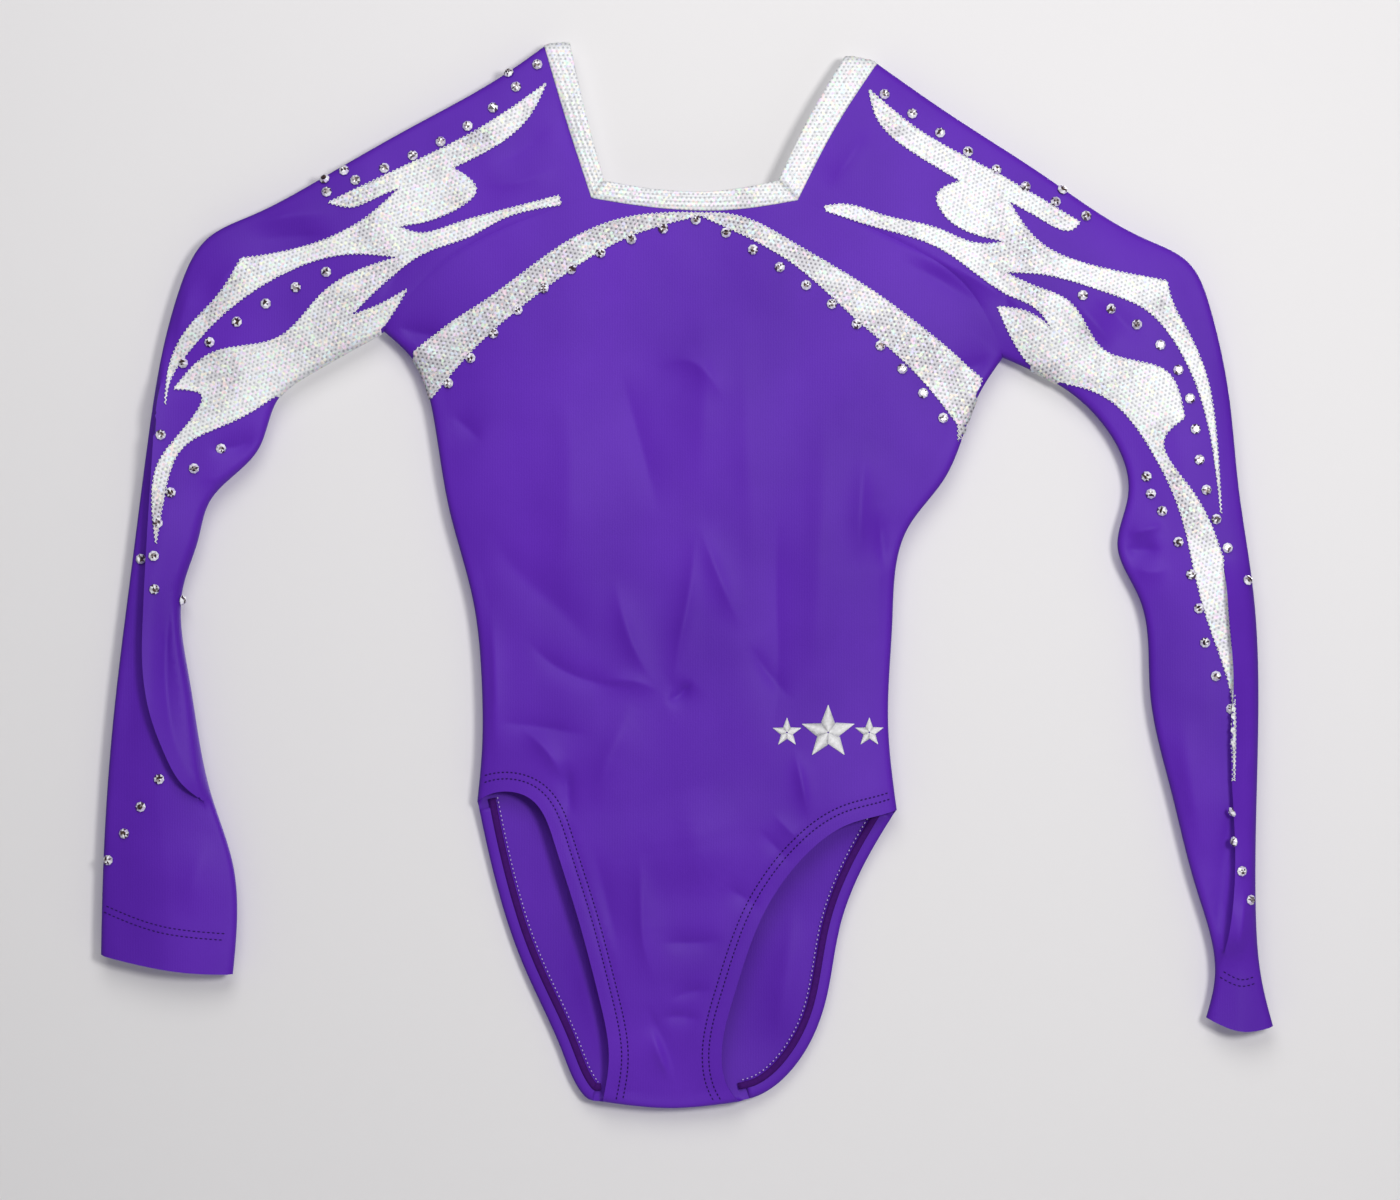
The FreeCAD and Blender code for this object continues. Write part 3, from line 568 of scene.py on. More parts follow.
def thicken(piece, thickness):
    """Give a surface its cloth's thickness, inwards, as real mesh."""
    solid = piece.modifiers.new("cloth", "SOLIDIFY")
    solid.thickness = thickness * MM
    solid.offset = -1.0
    solid.use_even_offset = False
    bpy.context.view_layer.objects.active = piece
    bpy.ops.object.modifier_apply(modifier=solid.name)
    piece.data.set_sharp_from_angle(angle=math.radians(50))
    return piece


# Rows of points inside an edge, and beside a pleat or a sharp fold, so that each is smooth.
CLOTH_ROWS = (0.35, 1.0, 2.0, 3.3)
HEMMED_ROWS = (*CLOTH_ROWS, 4.9, 5.9, 6.9, 7.9, 8.9, 9.9)
PLEAT_ROWS = (-5.0, -3.2, -1.7, -0.7, -0.3, 0.0, 0.8, 2.0, 3.4)
FOLD_ROWS = (-1.6, -0.8, 0.0, 0.8, 1.6)
CREASES = [(track, PLEAT_ROWS) for track, _, _ in PLEATS[FRONT]]
CREASED = CREASES + [(track, FOLD_ROWS) for track, width, _ in FOLDS[FRONT] if 3 <= width <= 6]
CLOTH, FOIL = 0.7, 0.35
FOIL_LIFT = 0.6


def cloth_panel(name, strokes, facing, material, step, rows):
    points, faces = fill(closed(strokes, step), step, rows, CREASED if facing == FRONT else ())
    if facing == BACK:
        faces = [face[::-1] for face in faces]
    return thicken(make(name, place_on(points, facing), faces, material), CLOTH)


def cloth_tube(name, strokes, material):
    """A sleeve: one outline in front and behind, joined along its folded edges."""
    outline = closed(strokes, STEP)
    points, faces = fill(outline, STEP, CLOTH_ROWS, CREASED)
    gap = FOLDED.distance(points)
    shared = (gap < 0.3) & (np.arange(len(points)) < len(outline))
    front, behind = place_on(points, FRONT), place_on(points, BACK)[~shared]
    front[shared, 1] = 0
    back_index = np.arange(len(points))
    back_index[~shared] = len(points) + np.arange((~shared).sum())
    faces = faces + [tuple(int(back_index[corner]) for corner in face[::-1]) for face in faces]
    return thicken(make(name, np.vstack([front, behind]), faces, material), CLOTH)


def foil_piece(name, strokes, facing, material):
    """Foil on the cloth: it follows every fold, and its cut edge is slightly ragged."""
    outline = closed(strokes, 1.2)
    left = sideways(np.vstack([outline[-1:], outline, outline[:1]]))[1:-1]
    outline = outline + left * np.array([[random.uniform(-0.32, 0.32)] for _ in outline])
    outline = FOLDED.snapped(outline, 1.5)
    points, faces = fill(outline, STEP, (), CREASES + [(FOLDED, CLOTH_ROWS)])
    if facing == BACK:
        faces = [face[::-1] for face in faces]
    return thicken(make(name, place_on(points, facing, FOIL_LIFT), faces, material), FOIL)


def threads(name, runs, facing, material, radius, lift, swell=True):
    """Short round threads on the cloth, each through three or more places."""
    flat = np.vstack(runs)
    lifted = place_on(flat, facing, lift)
    places, faces, start = [], [], 0
    for run in runs:
        line = [Vector(place) for place in lifted[start:start + len(run)]]
        start += len(run)
        for index, place in enumerate(line):
            along = (line[min(index + 1, len(line) - 1)] - line[max(index - 1, 0)]).normalized()
            side = along.cross(Vector((0, facing, 0))).normalized()
            up = side.cross(along)
            thin = 0.5 if swell and index in (0, len(line) - 1) else 1.0
            for corner in range(5):
                angle = corner * math.tau / 5
                spoke = side * math.cos(angle) + up * math.sin(angle)
                places.append(place + spoke * radius * thin * MM)
        first = len(places) - 5 * len(line)
        for ring in range(len(line) - 1):
            for corner in range(5):
                a, b = first + ring * 5 + corner, first + ring * 5 + (corner + 1) % 5
                faces.append((a, b, b + 5, a + 5))
        faces.append(tuple(first + corner for corner in range(5)))
        faces.append(tuple(len(places) - 5 + corner for corner in range(5)))
    return make(name, places, faces, material)


def dashes(line, length, gap):
    """Running stitches along a line: three points for each."""
    count = int(length_of(line) / (length + gap))
    starts = np.arange(count) * (length + gap)
    return [resampled(line, start + np.array([0, length / 2, length])) for start in starts]


def on_cloth(runs, strokes):
    """The runs that lie wholly on a piece of cloth, clear of its folded edges."""
    outline = closed(strokes, 2.0)
    return [run for run in runs
            if inside(run, outline).all() and FOLDED.inward(run)[0].min() > 1.5]


# Zigzag edging of the foil: its thread's radius and height over the cloth, with blunt ends.
EDGING = (0.22, 0.72, False)


def zigzag(strokes, pitch=1.0, half_width=0.45):
    """Zigzag stitching over the edge of an outline, one run for each stroke."""
    runs = []
    for stroke in strokes:
        line = curve(stroke, pitch)
        sign = np.where(np.arange(len(line)) % 2, 1.0, -1.0)[:, None]
        line = line + sideways(line) * sign * half_width
        free = np.flatnonzero(FOLDED.inward(FOLDED.snapped(line, 0.0))[0] > 1.6)
        for run in np.split(free, np.flatnonzero(np.diff(free) > 1) + 1):
            if len(run) > 3:
                runs.append(line[run])
    return runs


def stones(name, rows, sides, material):
    """Faceted flat-back stones, each turned its own way and square to the cloth."""
    places, faces, painted_reflections = [], [], []
    # Painted reflections: each facet gets its own bright, grey or dark colour, for the glints and
    # dark facets of foil-backed glass.
    crown = ((0.95, 0.95, 1.0), (0.80, 0.80, 0.86), (0.52, 0.50, 0.56), (0.08, 0.05, 0.08),
             (0.66, 0.58, 0.82))
    painted_table_reflections = ((0.02, 0.01, 0.02), (0.07, 0.04, 0.03), (0.30, 0.26, 0.28), (0.95, 0.95, 1.0))
    spots = np.vstack([spread(path, count) for path, count in rows])
    for facing in sides:
        for foot, above in zip(place_on(spots, facing, 0.55), place_on(spots, facing, 1.55)):
            up = Vector(above - foot).normalized()
            side = up.orthogonal().normalized()
            other = up.cross(side)
            start = len(places)
            spin = random.uniform(0, math.tau)
            for radius, high, shift in ((1.0, 0.0, 0), (1.0, 0.45, 0), (0.56, 1.5, 0.5)):
                for corner in range(8):
                    angle = spin + (corner + shift) * math.tau / 8
                    spoke = (side * math.cos(angle)
                             + other * math.sin(angle)) * radius * STONE_RADIUS
                    places.append(Vector(foot) + (spoke + up * high) * MM)
            for corner in range(8):
                after = (corner + 1) % 8
                low, middle, top = start, start + 8, start + 16
                faces.append((low + corner, low + after, middle + after, middle + corner))
                faces.append((middle + corner, middle + after, top + corner))
                faces.append((middle + after, top + after, top + corner))
                faces.append((top + corner, top + after, start + 24))
                painted_reflections += [random.choice(crown) for _ in range(3)] + [random.choice(painted_table_reflections)]
            places.append(Vector(foot) + up * 1.5 * MM)
            faces.append(tuple(start + 7 - corner for corner in range(8)))
            painted_reflections.append(crown[1])
    piece = make(name, places, faces, material, smooth=False)
    layer = piece.data.attributes.new("facet", "FLOAT_COLOR", "CORNER")
    colors = [(*painted_reflection, 1) for face, painted_reflection in zip(faces, painted_reflections) for _ in face]
    layer.data.foreach_set("color", np.array(colors, np.float32).ravel())
    return piece


def grid_between(first, second, shares, facing):
    """Places on the cloth between two lines of equally many points: rows along, shares across."""
    flat = first[:, None] + (second - first)[:, None] * np.asarray(shares)[None, :, None]
    return place_on(flat.reshape(-1, 2), facing).reshape(len(first), len(shares), 3)


def loft(name, base, upper, lower, material):
    """A strip of cloth over a grid of places, from its lower to its upper height, in millimetres."""
    along, across = np.gradient(base, axis=0), np.gradient(base, axis=1)
    normal = np.cross(across, along)
    normal /= np.maximum(np.linalg.norm(normal, axis=2, keepdims=True), 1e-12)
    if normal[0, :, 1].mean() * base[0, :, 1].mean() < 0:
        normal = -normal
    count = base.shape[1]
    top = base + normal * (np.asarray(upper) * MM)[..., None]
    under = base + normal * (np.asarray(lower) * MM)[..., None]
    ring = np.concatenate([top, under[:, ::-1]], axis=1)
    size = 2 * count
    faces = []
    for row in range(len(base) - 1):
        for corner in range(size):
            a, b = row * size + corner, row * size + (corner + 1) % size
            faces.append((a, b, b + size, a + size))
    last = (len(base) - 1) * size
    faces.append(tuple(range(size - 1, -1, -1)))
    faces.append(tuple(last + corner for corner in range(size)))
    piece = make(name, ring.reshape(-1, 3), faces, material)
    bpy.context.view_layer.objects.active = piece
    bpy.ops.object.mode_set(mode="EDIT")
    bpy.ops.mesh.select_all(action="SELECT")
    bpy.ops.mesh.normals_make_consistent(inside=False)
    bpy.ops.object.mode_set(mode="OBJECT")
    return piece


def ridges(shares):
    """Height of the folded binding across its width: rounded edges and lengthwise ridges."""
    crown = 1.0 - np.abs(2 * shares - 1) ** 5
    return 0.35 + 0.85 * crown + 0.16 * np.cos(shares * 8 * math.pi) * crown


def joined(rows, shares):
    """The grids of a strip's rows (seam line, edge line, facing), without a doubled row between."""
    base = np.concatenate([grid_between(seam, edge, shares, facing) for seam, edge, facing in rows])
    keep = np.linalg.norm(np.diff(base.mean(1), axis=0), axis=1) > 1e-5
    return base[np.concatenate([[True], keep])]


def binding(name, rows, material):
    """A binding of foil cloth folded over the raw edge."""
    shares = np.linspace(0, 1, 25)
    low = -0.35 - 0.55 * (1 - np.abs(2 * shares - 1) ** 5)
    return loft(name, joined(rows, shares), ridges(shares), low, material)


def strap_rows(seam, edge):
    """Lines up the front of a strap, over its top and down the back to the lower neckline."""
    near_top = np.array([0, 0.3, 0.9, 1.8, 3.0, 4.6, 6.6])
    rows = []
    for line in (spline(seam), spline(edge)):
        length = length_of(line)
        steps = np.concatenate([np.linspace(0, length - 9, 26), length - near_top[::-1]])
        rows.append(resampled(line, steps))
    seam_up, edge_up = rows
    drop = np.linspace(NECK_DROP, 0, 4, endpoint=False)[::-1, None] * (0, 1)
    seam_down = np.vstack([seam_up[::-1], seam_up[0] - drop])
    edge_down = np.vstack([edge_up[::-1], edge_up[0] - drop])
    return [(seam_up, edge_up, FRONT), (seam_down, edge_down, BACK)]


def ribbon(name, points, near, far, facing, upper, lower, material, turn=1, clear=3.2):
    """A flat strip beside a curve, at two distances from it, wherever the cloth is deep enough."""
    line = spline(points)
    left = sideways(line)
    first, second = line + left * turn * near, line + left * turn * far
    every = max(1, int(STEP / 0.5))
    first, second = first[::every], second[::every]
    roomy = np.minimum(FOLDED.distance(first), FOLDED.distance(second)) > clear
    kept = np.flatnonzero(roomy)
    kept = np.arange(kept[0], kept[-1] + 1)
    shares = np.linspace(0, 1, len(upper))
    base = grid_between(first[kept], second[kept], shares, facing)
    return loft(name, base, upper, lower, material)


def star_threads(centre, radius):
    """Satin stitches across the five arms of a star."""
    centre = np.array(centre, float)
    runs = []
    for arm in range(5):
        angle = math.pi / 2 + arm * math.tau / 5
        axis = np.array([math.cos(angle), math.sin(angle)])
        side = np.array([-axis[1], axis[0]])
        inner = radius * 0.42
        waist = inner * math.cos(math.pi / 5)
        half = inner * math.sin(math.pi / 5)
        for along in np.arange(0.2, radius - 0.3, 0.42):
            if along < waist:
                wide = half * along / waist
            else:
                wide = half * (radius - along) / (radius - waist)
            if wide > 0.15:
                middle = centre + axis * along
                slant = axis * wide * 0.12
                reach = side * wide + slant
                runs.append(np.array([middle - reach, middle, middle + reach]))
    return runs


class Paint:
    """A material, with helpers for the nodes that colour it."""

    def __init__(self, name):
        self.material = bpy.data.materials.new(name)
        self.material.use_nodes = True
        self.nodes, self.links = self.material.node_tree.nodes, self.material.node_tree.links
        self.where = self.nodes.new("ShaderNodeTexCoord").outputs["Object"]

    def feed(self, socket, value):
        """Link an output to a socket, or set the socket's value."""
        if isinstance(value, bpy.types.NodeSocket):
            self.links.new(value, socket)
        else:
            socket.default_value = value

    def node(self, kind, options=(), **inputs):
        """A node with its options and inputs. An underscore stands for a space."""
        made = self.nodes.new("ShaderNode" + kind)
        for key, value in dict(options).items():
            setattr(made, key, value)
        for key, value in inputs.items():
            self.feed(made.inputs[key.replace("_", " ")], value)
        return made

    def noise(self, **inputs):
        return self.node("TexNoise", Vector=self.where, **inputs).outputs["Fac"]

    def ramp(self, value, stops):
        made = self.node("ValToRGB", Fac=value)
        for element, (place, color) in zip(made.color_ramp.elements, stops):
            element.position = place
            element.color = (*color, 1)
        return made.outputs["Color"]

    def maths(self, operation, *values, kind="Math"):
        made = self.node(kind, {"operation": operation})
        for socket, value in zip(made.inputs, values):
            self.feed(socket, value)
        plain_number = kind == "Math" or operation == "LENGTH"
        return made.outputs["Value" if plain_number else "Vector"]

    def mixed(self, first, second, factor):
        made = self.node("Mix", {"data_type": "RGBA"})
        for socket, value in (("Factor", factor), (6, first), (7, second)):
            self.feed(made.inputs[socket], value)
        return made.outputs[2]

    def bump(self, height, strength, distance, **before):
        return self.node("Bump", Height=height, Strength=strength, Distance=distance,
                         **before).outputs["Normal"]

    def finish(self, **inputs):
        """The material, with its shader's inputs. An underscore stands for a space."""
        for key, value in inputs.items():
            self.feed(self.nodes["Principled BSDF"].inputs[key.replace("_", " ")], value)
        return self.material


def knit(name, dark, light, sheen, rough):
    """Two-way-stretch knit: fine wales and a soft, cloudy colour."""
    paint = Paint(name)
    cloud = paint.noise(Scale=9.0, Detail=4.0, Roughness=0.55)
    wale = paint.node("TexWave", {"bands_direction": "X"}, Vector=paint.where, Scale=420.0,
                      Distortion=1.5).outputs["Fac"]
    wales = paint.bump(wale, 0.10, 0.0003)
    return paint.finish(
        Base_Color=paint.ramp(cloud, [(0.32, dark), (0.68, light)]),
        Normal=paint.bump(paint.noise(Scale=1500.0, Detail=2.0), 0.15, 0.0003, Normal=wales),
        Roughness=rough, Specular_IOR_Level=0.2, Sheen_Weight=sheen, Sheen_Roughness=0.4,
        Sheen_Tint=(0.35, 0.15, 1.0, 1))


DOT_PITCH = 0.00207


def foil(name, turned, grey, bright):
    """Holographic foil on knit: a mesh of dark dots, under painted reflections of grey and white
    clouds, coloured glints and dark specks.
    """
    paint = Paint(name)
    turn = (math.radians(90), 0, math.radians(turned))
    flat = paint.node("Mapping", Vector=paint.where, Rotation=turn).outputs["Vector"]

    def vectors(operation, *values):
        return paint.maths(operation, *values, kind="VectorMath")

    scaled = vectors("MULTIPLY", flat, (1 / DOT_PITCH, 1 / DOT_PITCH / math.sqrt(3), 0))
    dots = []
    for shift in (0.0, 0.5):
        cell = vectors("FRACTION", vectors("ADD", scaled, (shift, shift, 0)))
        cell = vectors("SUBTRACT", cell, (0.5, 0.5, 0))
        dots.append(vectors("LENGTH", vectors("MULTIPLY", cell, (1, math.sqrt(3), 0))))
    dot = paint.maths("MINIMUM", *dots)
    # Painted reflections: the foil is painted grey in some clouds and white in others, then coloured
    # glints and dark specks are painted in random cells.
    painted_dim_reflection = paint.ramp(dot, [(0.17, (0.20, 0.19, 0.22)), (0.34, (0.56, 0.55, 0.59))])
    painted_bright_reflection = paint.ramp(dot, [(0.17, (0.48, 0.49, 0.52)), (0.34, (0.76, 0.77, 0.79))])
    cloud = paint.noise(Scale=30.0, Detail=4.0, Roughness=0.6)
    painted_reflection_clouds = paint.ramp(cloud, [(grey, (0, 0, 0)), (bright, (1, 1, 1))])
    film = paint.mixed(painted_dim_reflection, painted_bright_reflection, painted_reflection_clouds)
    spark = paint.node("TexVoronoi", Vector=flat, Scale=820.0)
    hues, glints, shades = paint.node("SeparateColor", Color=spark.outputs["Color"]).outputs
    hue = paint.node("HueSaturation", Color=(1.0, 0.72, 0.76, 1), Hue=hues).outputs["Color"]
    glint = paint.maths("MULTIPLY", paint.maths("GREATER_THAN", glints, 0.68), 0.55)
    shade = paint.maths("MULTIPLY", paint.maths("GREATER_THAN", shades, 0.80), 0.22)
    film = paint.mixed(film, (0.34, 0.33, 0.37, 1), shade)
    return paint.finish(
        Base_Color=paint.mixed(film, hue, glint), Normal=paint.bump(dot, 0.4, 0.0004),
        Metallic=0.1, Roughness=0.5, Specular_IOR_Level=0.15)


def plain(name, color, rough, sheen=0.0, gloss=0.5):
    """A plain finish with a fine grain."""
    paint = Paint(name)
    speck = paint.noise(Scale=700.0, Detail=2.0)
    low = tuple(part * 0.85 for part in color)
    return paint.finish(
        Base_Color=paint.ramp(speck, [(0.35, low), (0.65, color)]),
        Normal=paint.bump(speck, 0.15, 0.0002),
        Roughness=rough, Specular_IOR_Level=gloss, Sheen_Weight=sheen)


def crystal(name):
    """Foil-backed glass whose colour is the painted reflection of each facet, bright or dark."""
    paint = Paint(name)
    painted_reflection = paint.node("Attribute", {"attribute_name": "facet"}).outputs["Color"]
    return paint.finish(Base_Color=painted_reflection, Metallic=0.1, Roughness=0.18, Specular_IOR_Level=0.3,
                        Coat_Weight=0.25, Coat_Roughness=0.03)


def wall_paint():
    """Pale paint that can be seen only from the front, so that views from behind are open."""
    paint = Paint("wall_paint")
    material = paint.finish(Base_Color=(0.74, 0.73, 0.74, 1), Roughness=0.9)
    either = paint.node("MixShader")
    layers = (paint.node("NewGeometry").outputs["Backfacing"],
              paint.nodes["Principled BSDF"].outputs[0],
              paint.node("BsdfTransparent").outputs[0])
    for socket, value in zip(either.inputs, layers):
        paint.feed(socket, value)
    paint.feed(paint.nodes["Material Output"].inputs["Surface"], either.outputs[0])
    return material


PURPLE = knit("purple_spandex", (0.080, 0.010, 0.345), (0.108, 0.017, 0.430), 0.06, 0.55)
HEM = knit("purple_hem", (0.052, 0.008, 0.215), (0.068, 0.012, 0.265), 0.04, 0.65)
LINING_CLOTH = knit("lining_tricot", (0.070, 0.014, 0.270), (0.085, 0.020, 0.310), 0.05, 0.75)
FLAME_FOIL = foil("silver_foil", 20, 0.33, 0.49)
BAND_FOIL = foil("silver_foil_band", 50, 0.49, 0.66)
TAPE_FOIL = foil("silver_foil_tape", 0, 0.24, 0.40)
EDGE_THREAD = plain("silver_thread", (0.86, 0.86, 0.89), 0.45, 0.3)
THREAD = plain("purple_thread", (0.022, 0.003, 0.100), 0.7, gloss=0.15)
DARK_HEM_STRIP = plain("dark_hem_strip", (0.050, 0.005, 0.140), 0.8, gloss=0.1)
DOTS = plain("pale_thread", (0.55, 0.42, 0.80), 0.5, 0.3)
WHITE = plain("white_thread", (0.78, 0.78, 0.80), 0.45, 0.4)
RUBBER = plain("elastic_band", (0.72, 0.72, 0.73), 0.7)
GLASS = crystal("rhinestone_glass")

# Floor, lights, room and camera.
floor = make("floor", [(-3, -3, -1.2), (3, -3, -1.2), (3, 3, -1.2), (-3, 3, -1.2)],
             [(0, 1, 2, 3)], plain("floor_paint", (0.80, 0.80, 0.81), 0.9))
floor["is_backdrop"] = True


LIT_SPOT = Vector((0, 0, -0.25))


def light(name, place, size, power, blue=0.98):
    """A round soft light turned to the garment."""
    lamp = bpy.data.lights.new(name, "AREA")
    lamp.shape = "DISK"
    lamp.size = size
    lamp.energy = power
    lamp.color = (1.0, 0.99, blue)
    piece = bpy.data.objects.new(name, lamp)
    piece.location = place
    piece.rotation_euler = (LIT_SPOT - Vector(place)).to_track_quat("-Z", "Y").to_euler()
    piece.visible_camera = False
    bpy.context.collection.objects.link(piece)


light("key", (0.50, -1.3, -0.05), 0.30, 10, 0.97)
light("window", (-0.1, -1.1, 0.6), 1.0, 8.6)
light("behind", (0.7, 1.5, 0.35), 1.0, 17)
room = bpy.data.worlds.new("room")
room.use_nodes = True
glow = room.node_tree.nodes["Background"].inputs
glow["Color"].default_value = (0.96, 0.97, 1.0, 1)
glow["Strength"].default_value = 0.25
bpy.context.scene.world = room
bpy.context.scene.view_settings.view_transform = "Standard"

lens = bpy.data.cameras.new("camera")
lens.lens = 85
camera = bpy.data.objects.new("camera", lens)
# The photograph's width in metres at the cloth's front, which stands off the middle a little.
VIEW_WIDTH = 0.644
CLOTH_FRONT = 0.008
camera.location = (0, -VIEW_WIDTH * lens.lens / lens.sensor_width - CLOTH_FRONT, -0.253)
camera.rotation_euler = (math.radians(90), 0, 0)
bpy.context.collection.objects.link(camera)
bpy.context.scene.camera = camera


def settle(piece, body, nodes=()):
    """Settle a finished piece: parent it to the torso, or bake its transform for any other body, and
    hide the CAD nodes it stands for.
    """
    if body == "torso":
        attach(piece, body)
    else:
        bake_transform(piece)
    if nodes:
        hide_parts(*nodes)
    return piece


low_neck, low_edge = ([(x, z - NECK_DROP) for x, z in line] for line in (NECK_SEAM, NECK_EDGE))
right_edges = [RIGHT_SIDE[::-1], RIGHT_RAGLAN[::-1]]
front_outline = [NECK_SEAM, LEFT_RAGLAN, LEFT_SIDE, LEFT_LEG_FRONT, CROTCH[::-1],
                 RIGHT_LEG_FRONT[::-1], *right_edges]
back_outline = [[NECK_SEAM[0], low_neck[0]], low_neck, [low_neck[-1], NECK_SEAM[-1]], LEFT_RAGLAN,
                LEFT_SIDE, LEFT_LEG_BACK, CROTCH[::-1], RIGHT_LEG_BACK[::-1], *right_edges]
front = cloth_panel("front_panel", front_outline, FRONT, PURPLE, 0.75 * STEP, HEMMED_ROWS)
settle(front, "torso", ["front_body_panel"])
back = cloth_panel("back_panel", back_outline, BACK, PURPLE, STEP, CLOTH_ROWS)
settle(back, "torso", ["back_body_panel"])

on_front, on_back = [], []
for side, strokes in (("right", RIGHT_BAND), ("left", LEFT_BAND)):
    band = foil_piece(side + "_chest_foil", strokes, FRONT, BAND_FOIL)
    on_front.append(settle(band, "torso", [side + "_chest_band"]))
    edge = threads(side + "_chest_zigzag", zigzag(strokes[:-1]), FRONT, EDGE_THREAD, *EDGING)
    on_front.append(settle(edge, "torso"))
on_front.append(settle(stones("chest_stones", CHEST_STONES, [FRONT], GLASS), "torso",
                       ["chest_rhinestones"]))

# Leg hems: the elastic, the cloth turned in over it, and the twin rows of stitches.
legs = (("right", RIGHT_LEG_FRONT, RIGHT_LEG_BACK, 1), ("left", LEFT_LEG_FRONT, LEFT_LEG_BACK, -1))
for side, leg_front, leg_back, turn in legs:
    faced = ((FRONT, leg_front, front_outline, on_front, "front"),
             (BACK, leg_back, back_outline, on_back, "back"))
    for facing, edge, cloth, kept, word in faced:
        elastic = ribbon("%s_leg_elastic_%s" % (side, word), edge, 1.2, 7.4, facing,
                         [-0.75] * 3, [-1.35] * 3, RUBBER, turn, 8.0)
        kept.append(settle(elastic, "torso", [side + "_leg_elastic"]))
        hem = ribbon("%s_leg_hem_%s" % (side, word), edge, 0.15, 9.0, facing,
                     [-0.1, -0.72, -1.4, -1.4, -1.4, -1.4, -1.4, -0.75],
                     [-0.9, -1.7, -1.95, -1.95, -1.95, -1.95, -1.9, -1.1],
                     HEM if facing == FRONT else PURPLE, turn)
        kept.append(settle(hem, "torso"))
        rows = [run for reach in HEM_ROWS
                for run in dashes(parallel(edge, turn * reach), 1.1, 0.9)]
        sewn = threads("%s_leg_stitches_%s" % (side, word), on_cloth(rows, cloth), facing,
                       THREAD, 0.36, 0.15)
        kept.append(settle(sewn, "torso", [side + "_leg_stitching"]))
    # A dark purple strip along the inside of the back leg hem, 5 to 8.2 mm in from its edge.
    dark_strip = ribbon(side + "_leg_dark_strip", leg_back, 5.0, 8.2, BACK,
                    [-1.9, -1.8, -1.8, -1.9], [-2.1, -2.4, -2.4, -2.1], DARK_HEM_STRIP, turn)
    on_back.append(settle(dark_strip, "torso"))
    rows = on_cloth(dashes(parallel(leg_back, turn * 9.2), 0.8, 1.3), back_outline)
    dotted = threads(side + "_leg_back_dots", rows, BACK, DOTS, 0.34, -2.2)
    on_back.append(settle(dotted, "torso"))

lining = [
    [(-31, -481), (-33, -455), (-44, -402)], [(-44, -402), (-14, -396), (16, -402)],
    [(16, -402), (1, -455), (-1, -481)], [(-1, -481), (-31, -481)],
]
points, faces = fill(closed(lining, STEP), STEP)
gusset = thicken(make("crotch_gusset", place_on(points, FRONT, -1.1), faces, LINING_CLOTH), 0.6)
on_front.append(settle(gusset, "torso", ["crotch_lining"]))
runs = [run for centre, radius in STARS for run in star_threads(centre, radius)]
on_front.append(settle(threads("hip_stars", runs, FRONT, WHITE, 0.34, 0.3), "torso",
                       ["hip_embroidery"]))

# Neck binding with mitred corners, and its elastic.
tapes = [
    ("front_neck_tape", [(spread(NECK_SEAM, 40), spread(NECK_EDGE, 40), FRONT)],
     "front_neck_binding"),
    ("back_neck_tape", [(spread(low_neck, 40), spread(low_edge, 40), BACK)], "back_neck_binding"),
    ("right_neck_tape", strap_rows(RIGHT_STRAP_SEAM, RIGHT_STRAP_EDGE), "right_neck_binding"),
    ("left_neck_tape", strap_rows(LEFT_STRAP_SEAM, LEFT_STRAP_EDGE), "left_neck_binding"),
]
for name, rows, node in tapes:
    tape = settle(binding(name, rows, TAPE_FOIL), "torso", [node])
    (on_back if name.startswith("back") else on_front).append(tape)

for name, rows, node in tapes:
    strand = [(seam + (edge - seam) * 0.3, seam + (edge - seam) * 0.7, facing)
              for seam, edge, facing in rows]
    elastic = loft(name.replace("tape", "elastic"), joined(strand, np.linspace(0, 1, 4)),
                   [0.1] * 4, [-0.4] * 4, RUBBER)
    on_front.append(settle(elastic, "torso", ["neck_elastic"]))

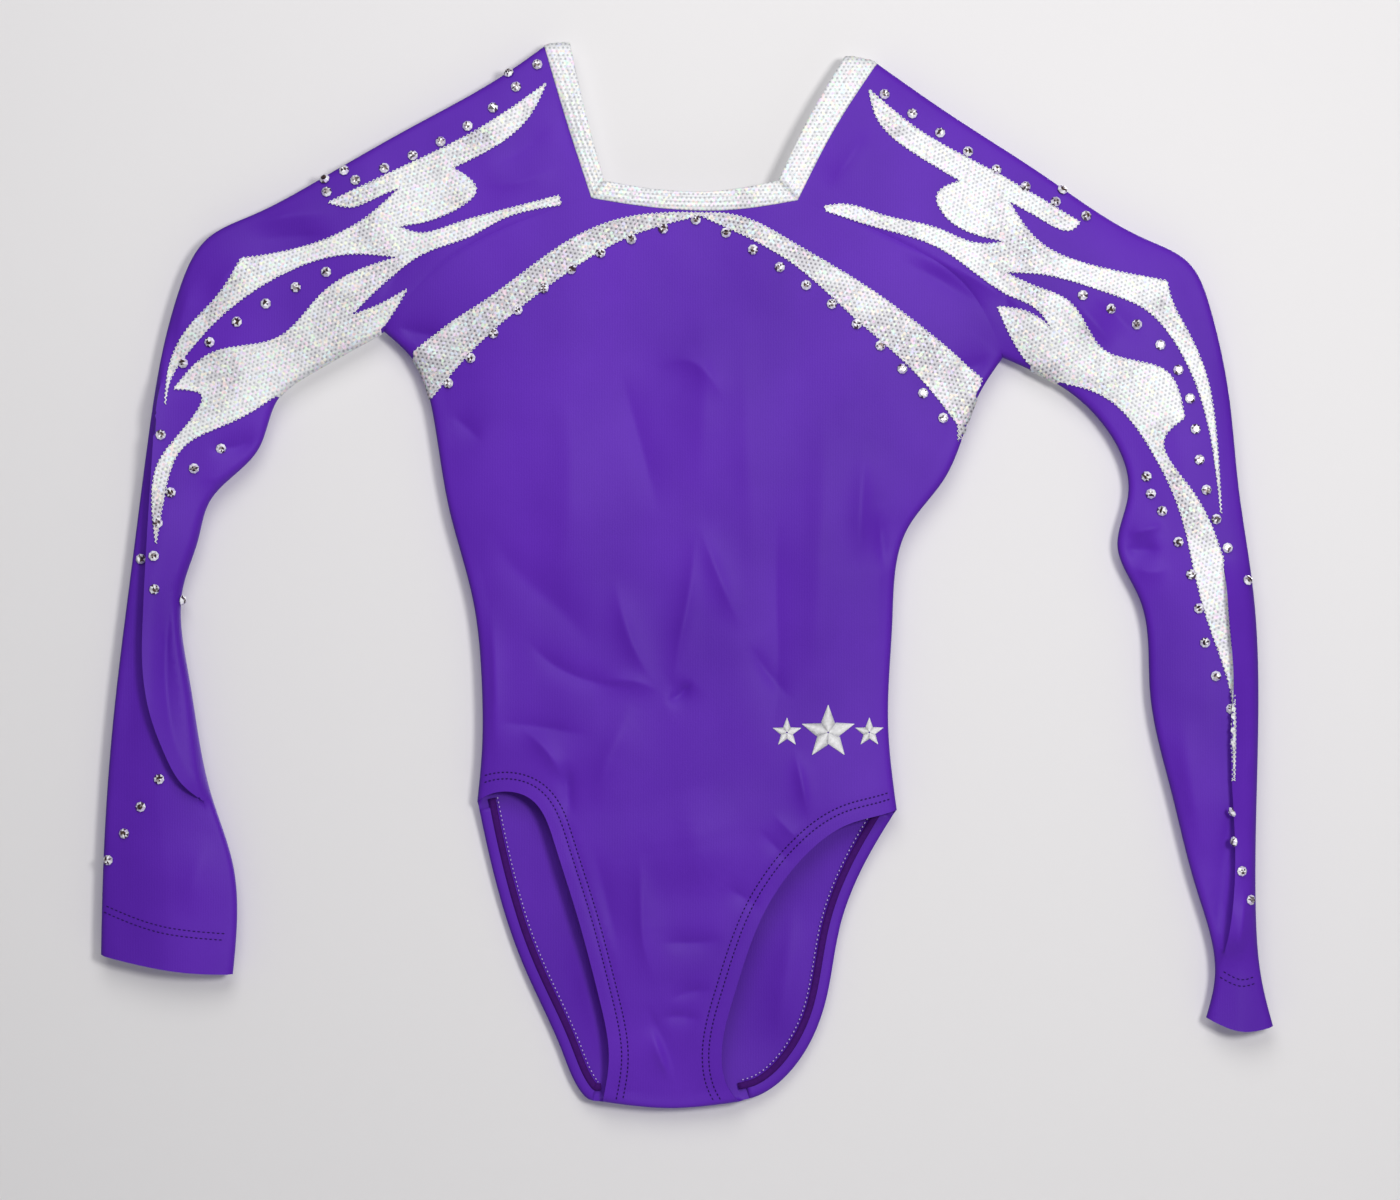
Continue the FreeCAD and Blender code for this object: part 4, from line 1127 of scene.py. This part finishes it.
# Sleeves with their flames, stones and cuffs.
sleeves = [
    ("right", [RIGHT_STRAP_SEAM, RIGHT_ARM_OUT, RIGHT_CUFF, RIGHT_ARM_IN[::-1], RIGHT_RAGLAN[::-1]],
     RIGHT_FLAME, RIGHT_SHOULDER_STONES, RIGHT_SLEEVE_STONES, RIGHT_CUFF_ROW),
    ("left", [LEFT_STRAP_SEAM, LEFT_ARM_OUT, LEFT_CUFF, LEFT_ARM_IN[::-1], LEFT_RAGLAN[::-1]],
     LEFT_FLAME, LEFT_SHOULDER_STONES, LEFT_SLEEVE_STONES, LEFT_CUFF_ROW),
]
for side, strokes, flame, shoulder_rows, sleeve_rows, cuff_row in sleeves:
    arm = side + "_arm"
    sleeve = settle(cloth_tube(side + "_raglan_sleeve", strokes, PURPLE), arm,
                    [side + "_shoulder_panel", side + "_sleeve"])
    for facing, word in ((FRONT, "front"), (BACK, "back")):
        shape = foil_piece("%s_flame_%s" % (side, word), flame, facing, FLAME_FOIL)
        settle(shape, arm, ["%s_shoulder_flame_%s" % (side, word),
                                                        "%s_sleeve_flame_%s" % (side, word)])
        edge = threads("%s_flame_zigzag_%s" % (side, word), zigzag(flame), facing, EDGE_THREAD,
                       *EDGING)
        settle(edge, arm)
        rows = [run for reach in (0, 3) for run in dashes(parallel(cuff_row, reach), 1.3, 0.9)]
        sewn = threads("%s_cuff_stitches_%s" % (side, word), rows, facing, THREAD, 0.3, 0.12)
        settle(sewn, arm, [side + "_cuff_stitching"])
    gems = stones(side + "_shoulder_stones", shoulder_rows, [FRONT, BACK], GLASS)
    settle(gems, "torso", [side + "_shoulder_rhinestones"])
    gems = stones(side + "_sleeve_stones", sleeve_rows, [FRONT, BACK], GLASS)
    settle(gems, arm, [side + "_sleeve_rhinestones"])

# The wall just behind the finished garment. It neither shades nor lights it, so its back is lit.
low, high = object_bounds()
wall_y = high.y + 0.0015
wall = make("backdrop_wall",
            [(-3, wall_y, -1.4), (3, wall_y, -1.4), (3, wall_y, 2.2), (-3, wall_y, 2.2)],
            [(0, 1, 2, 3)], wall_paint())
wall.visible_diffuse = wall.visible_glossy = wall.visible_shadow = False
wall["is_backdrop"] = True
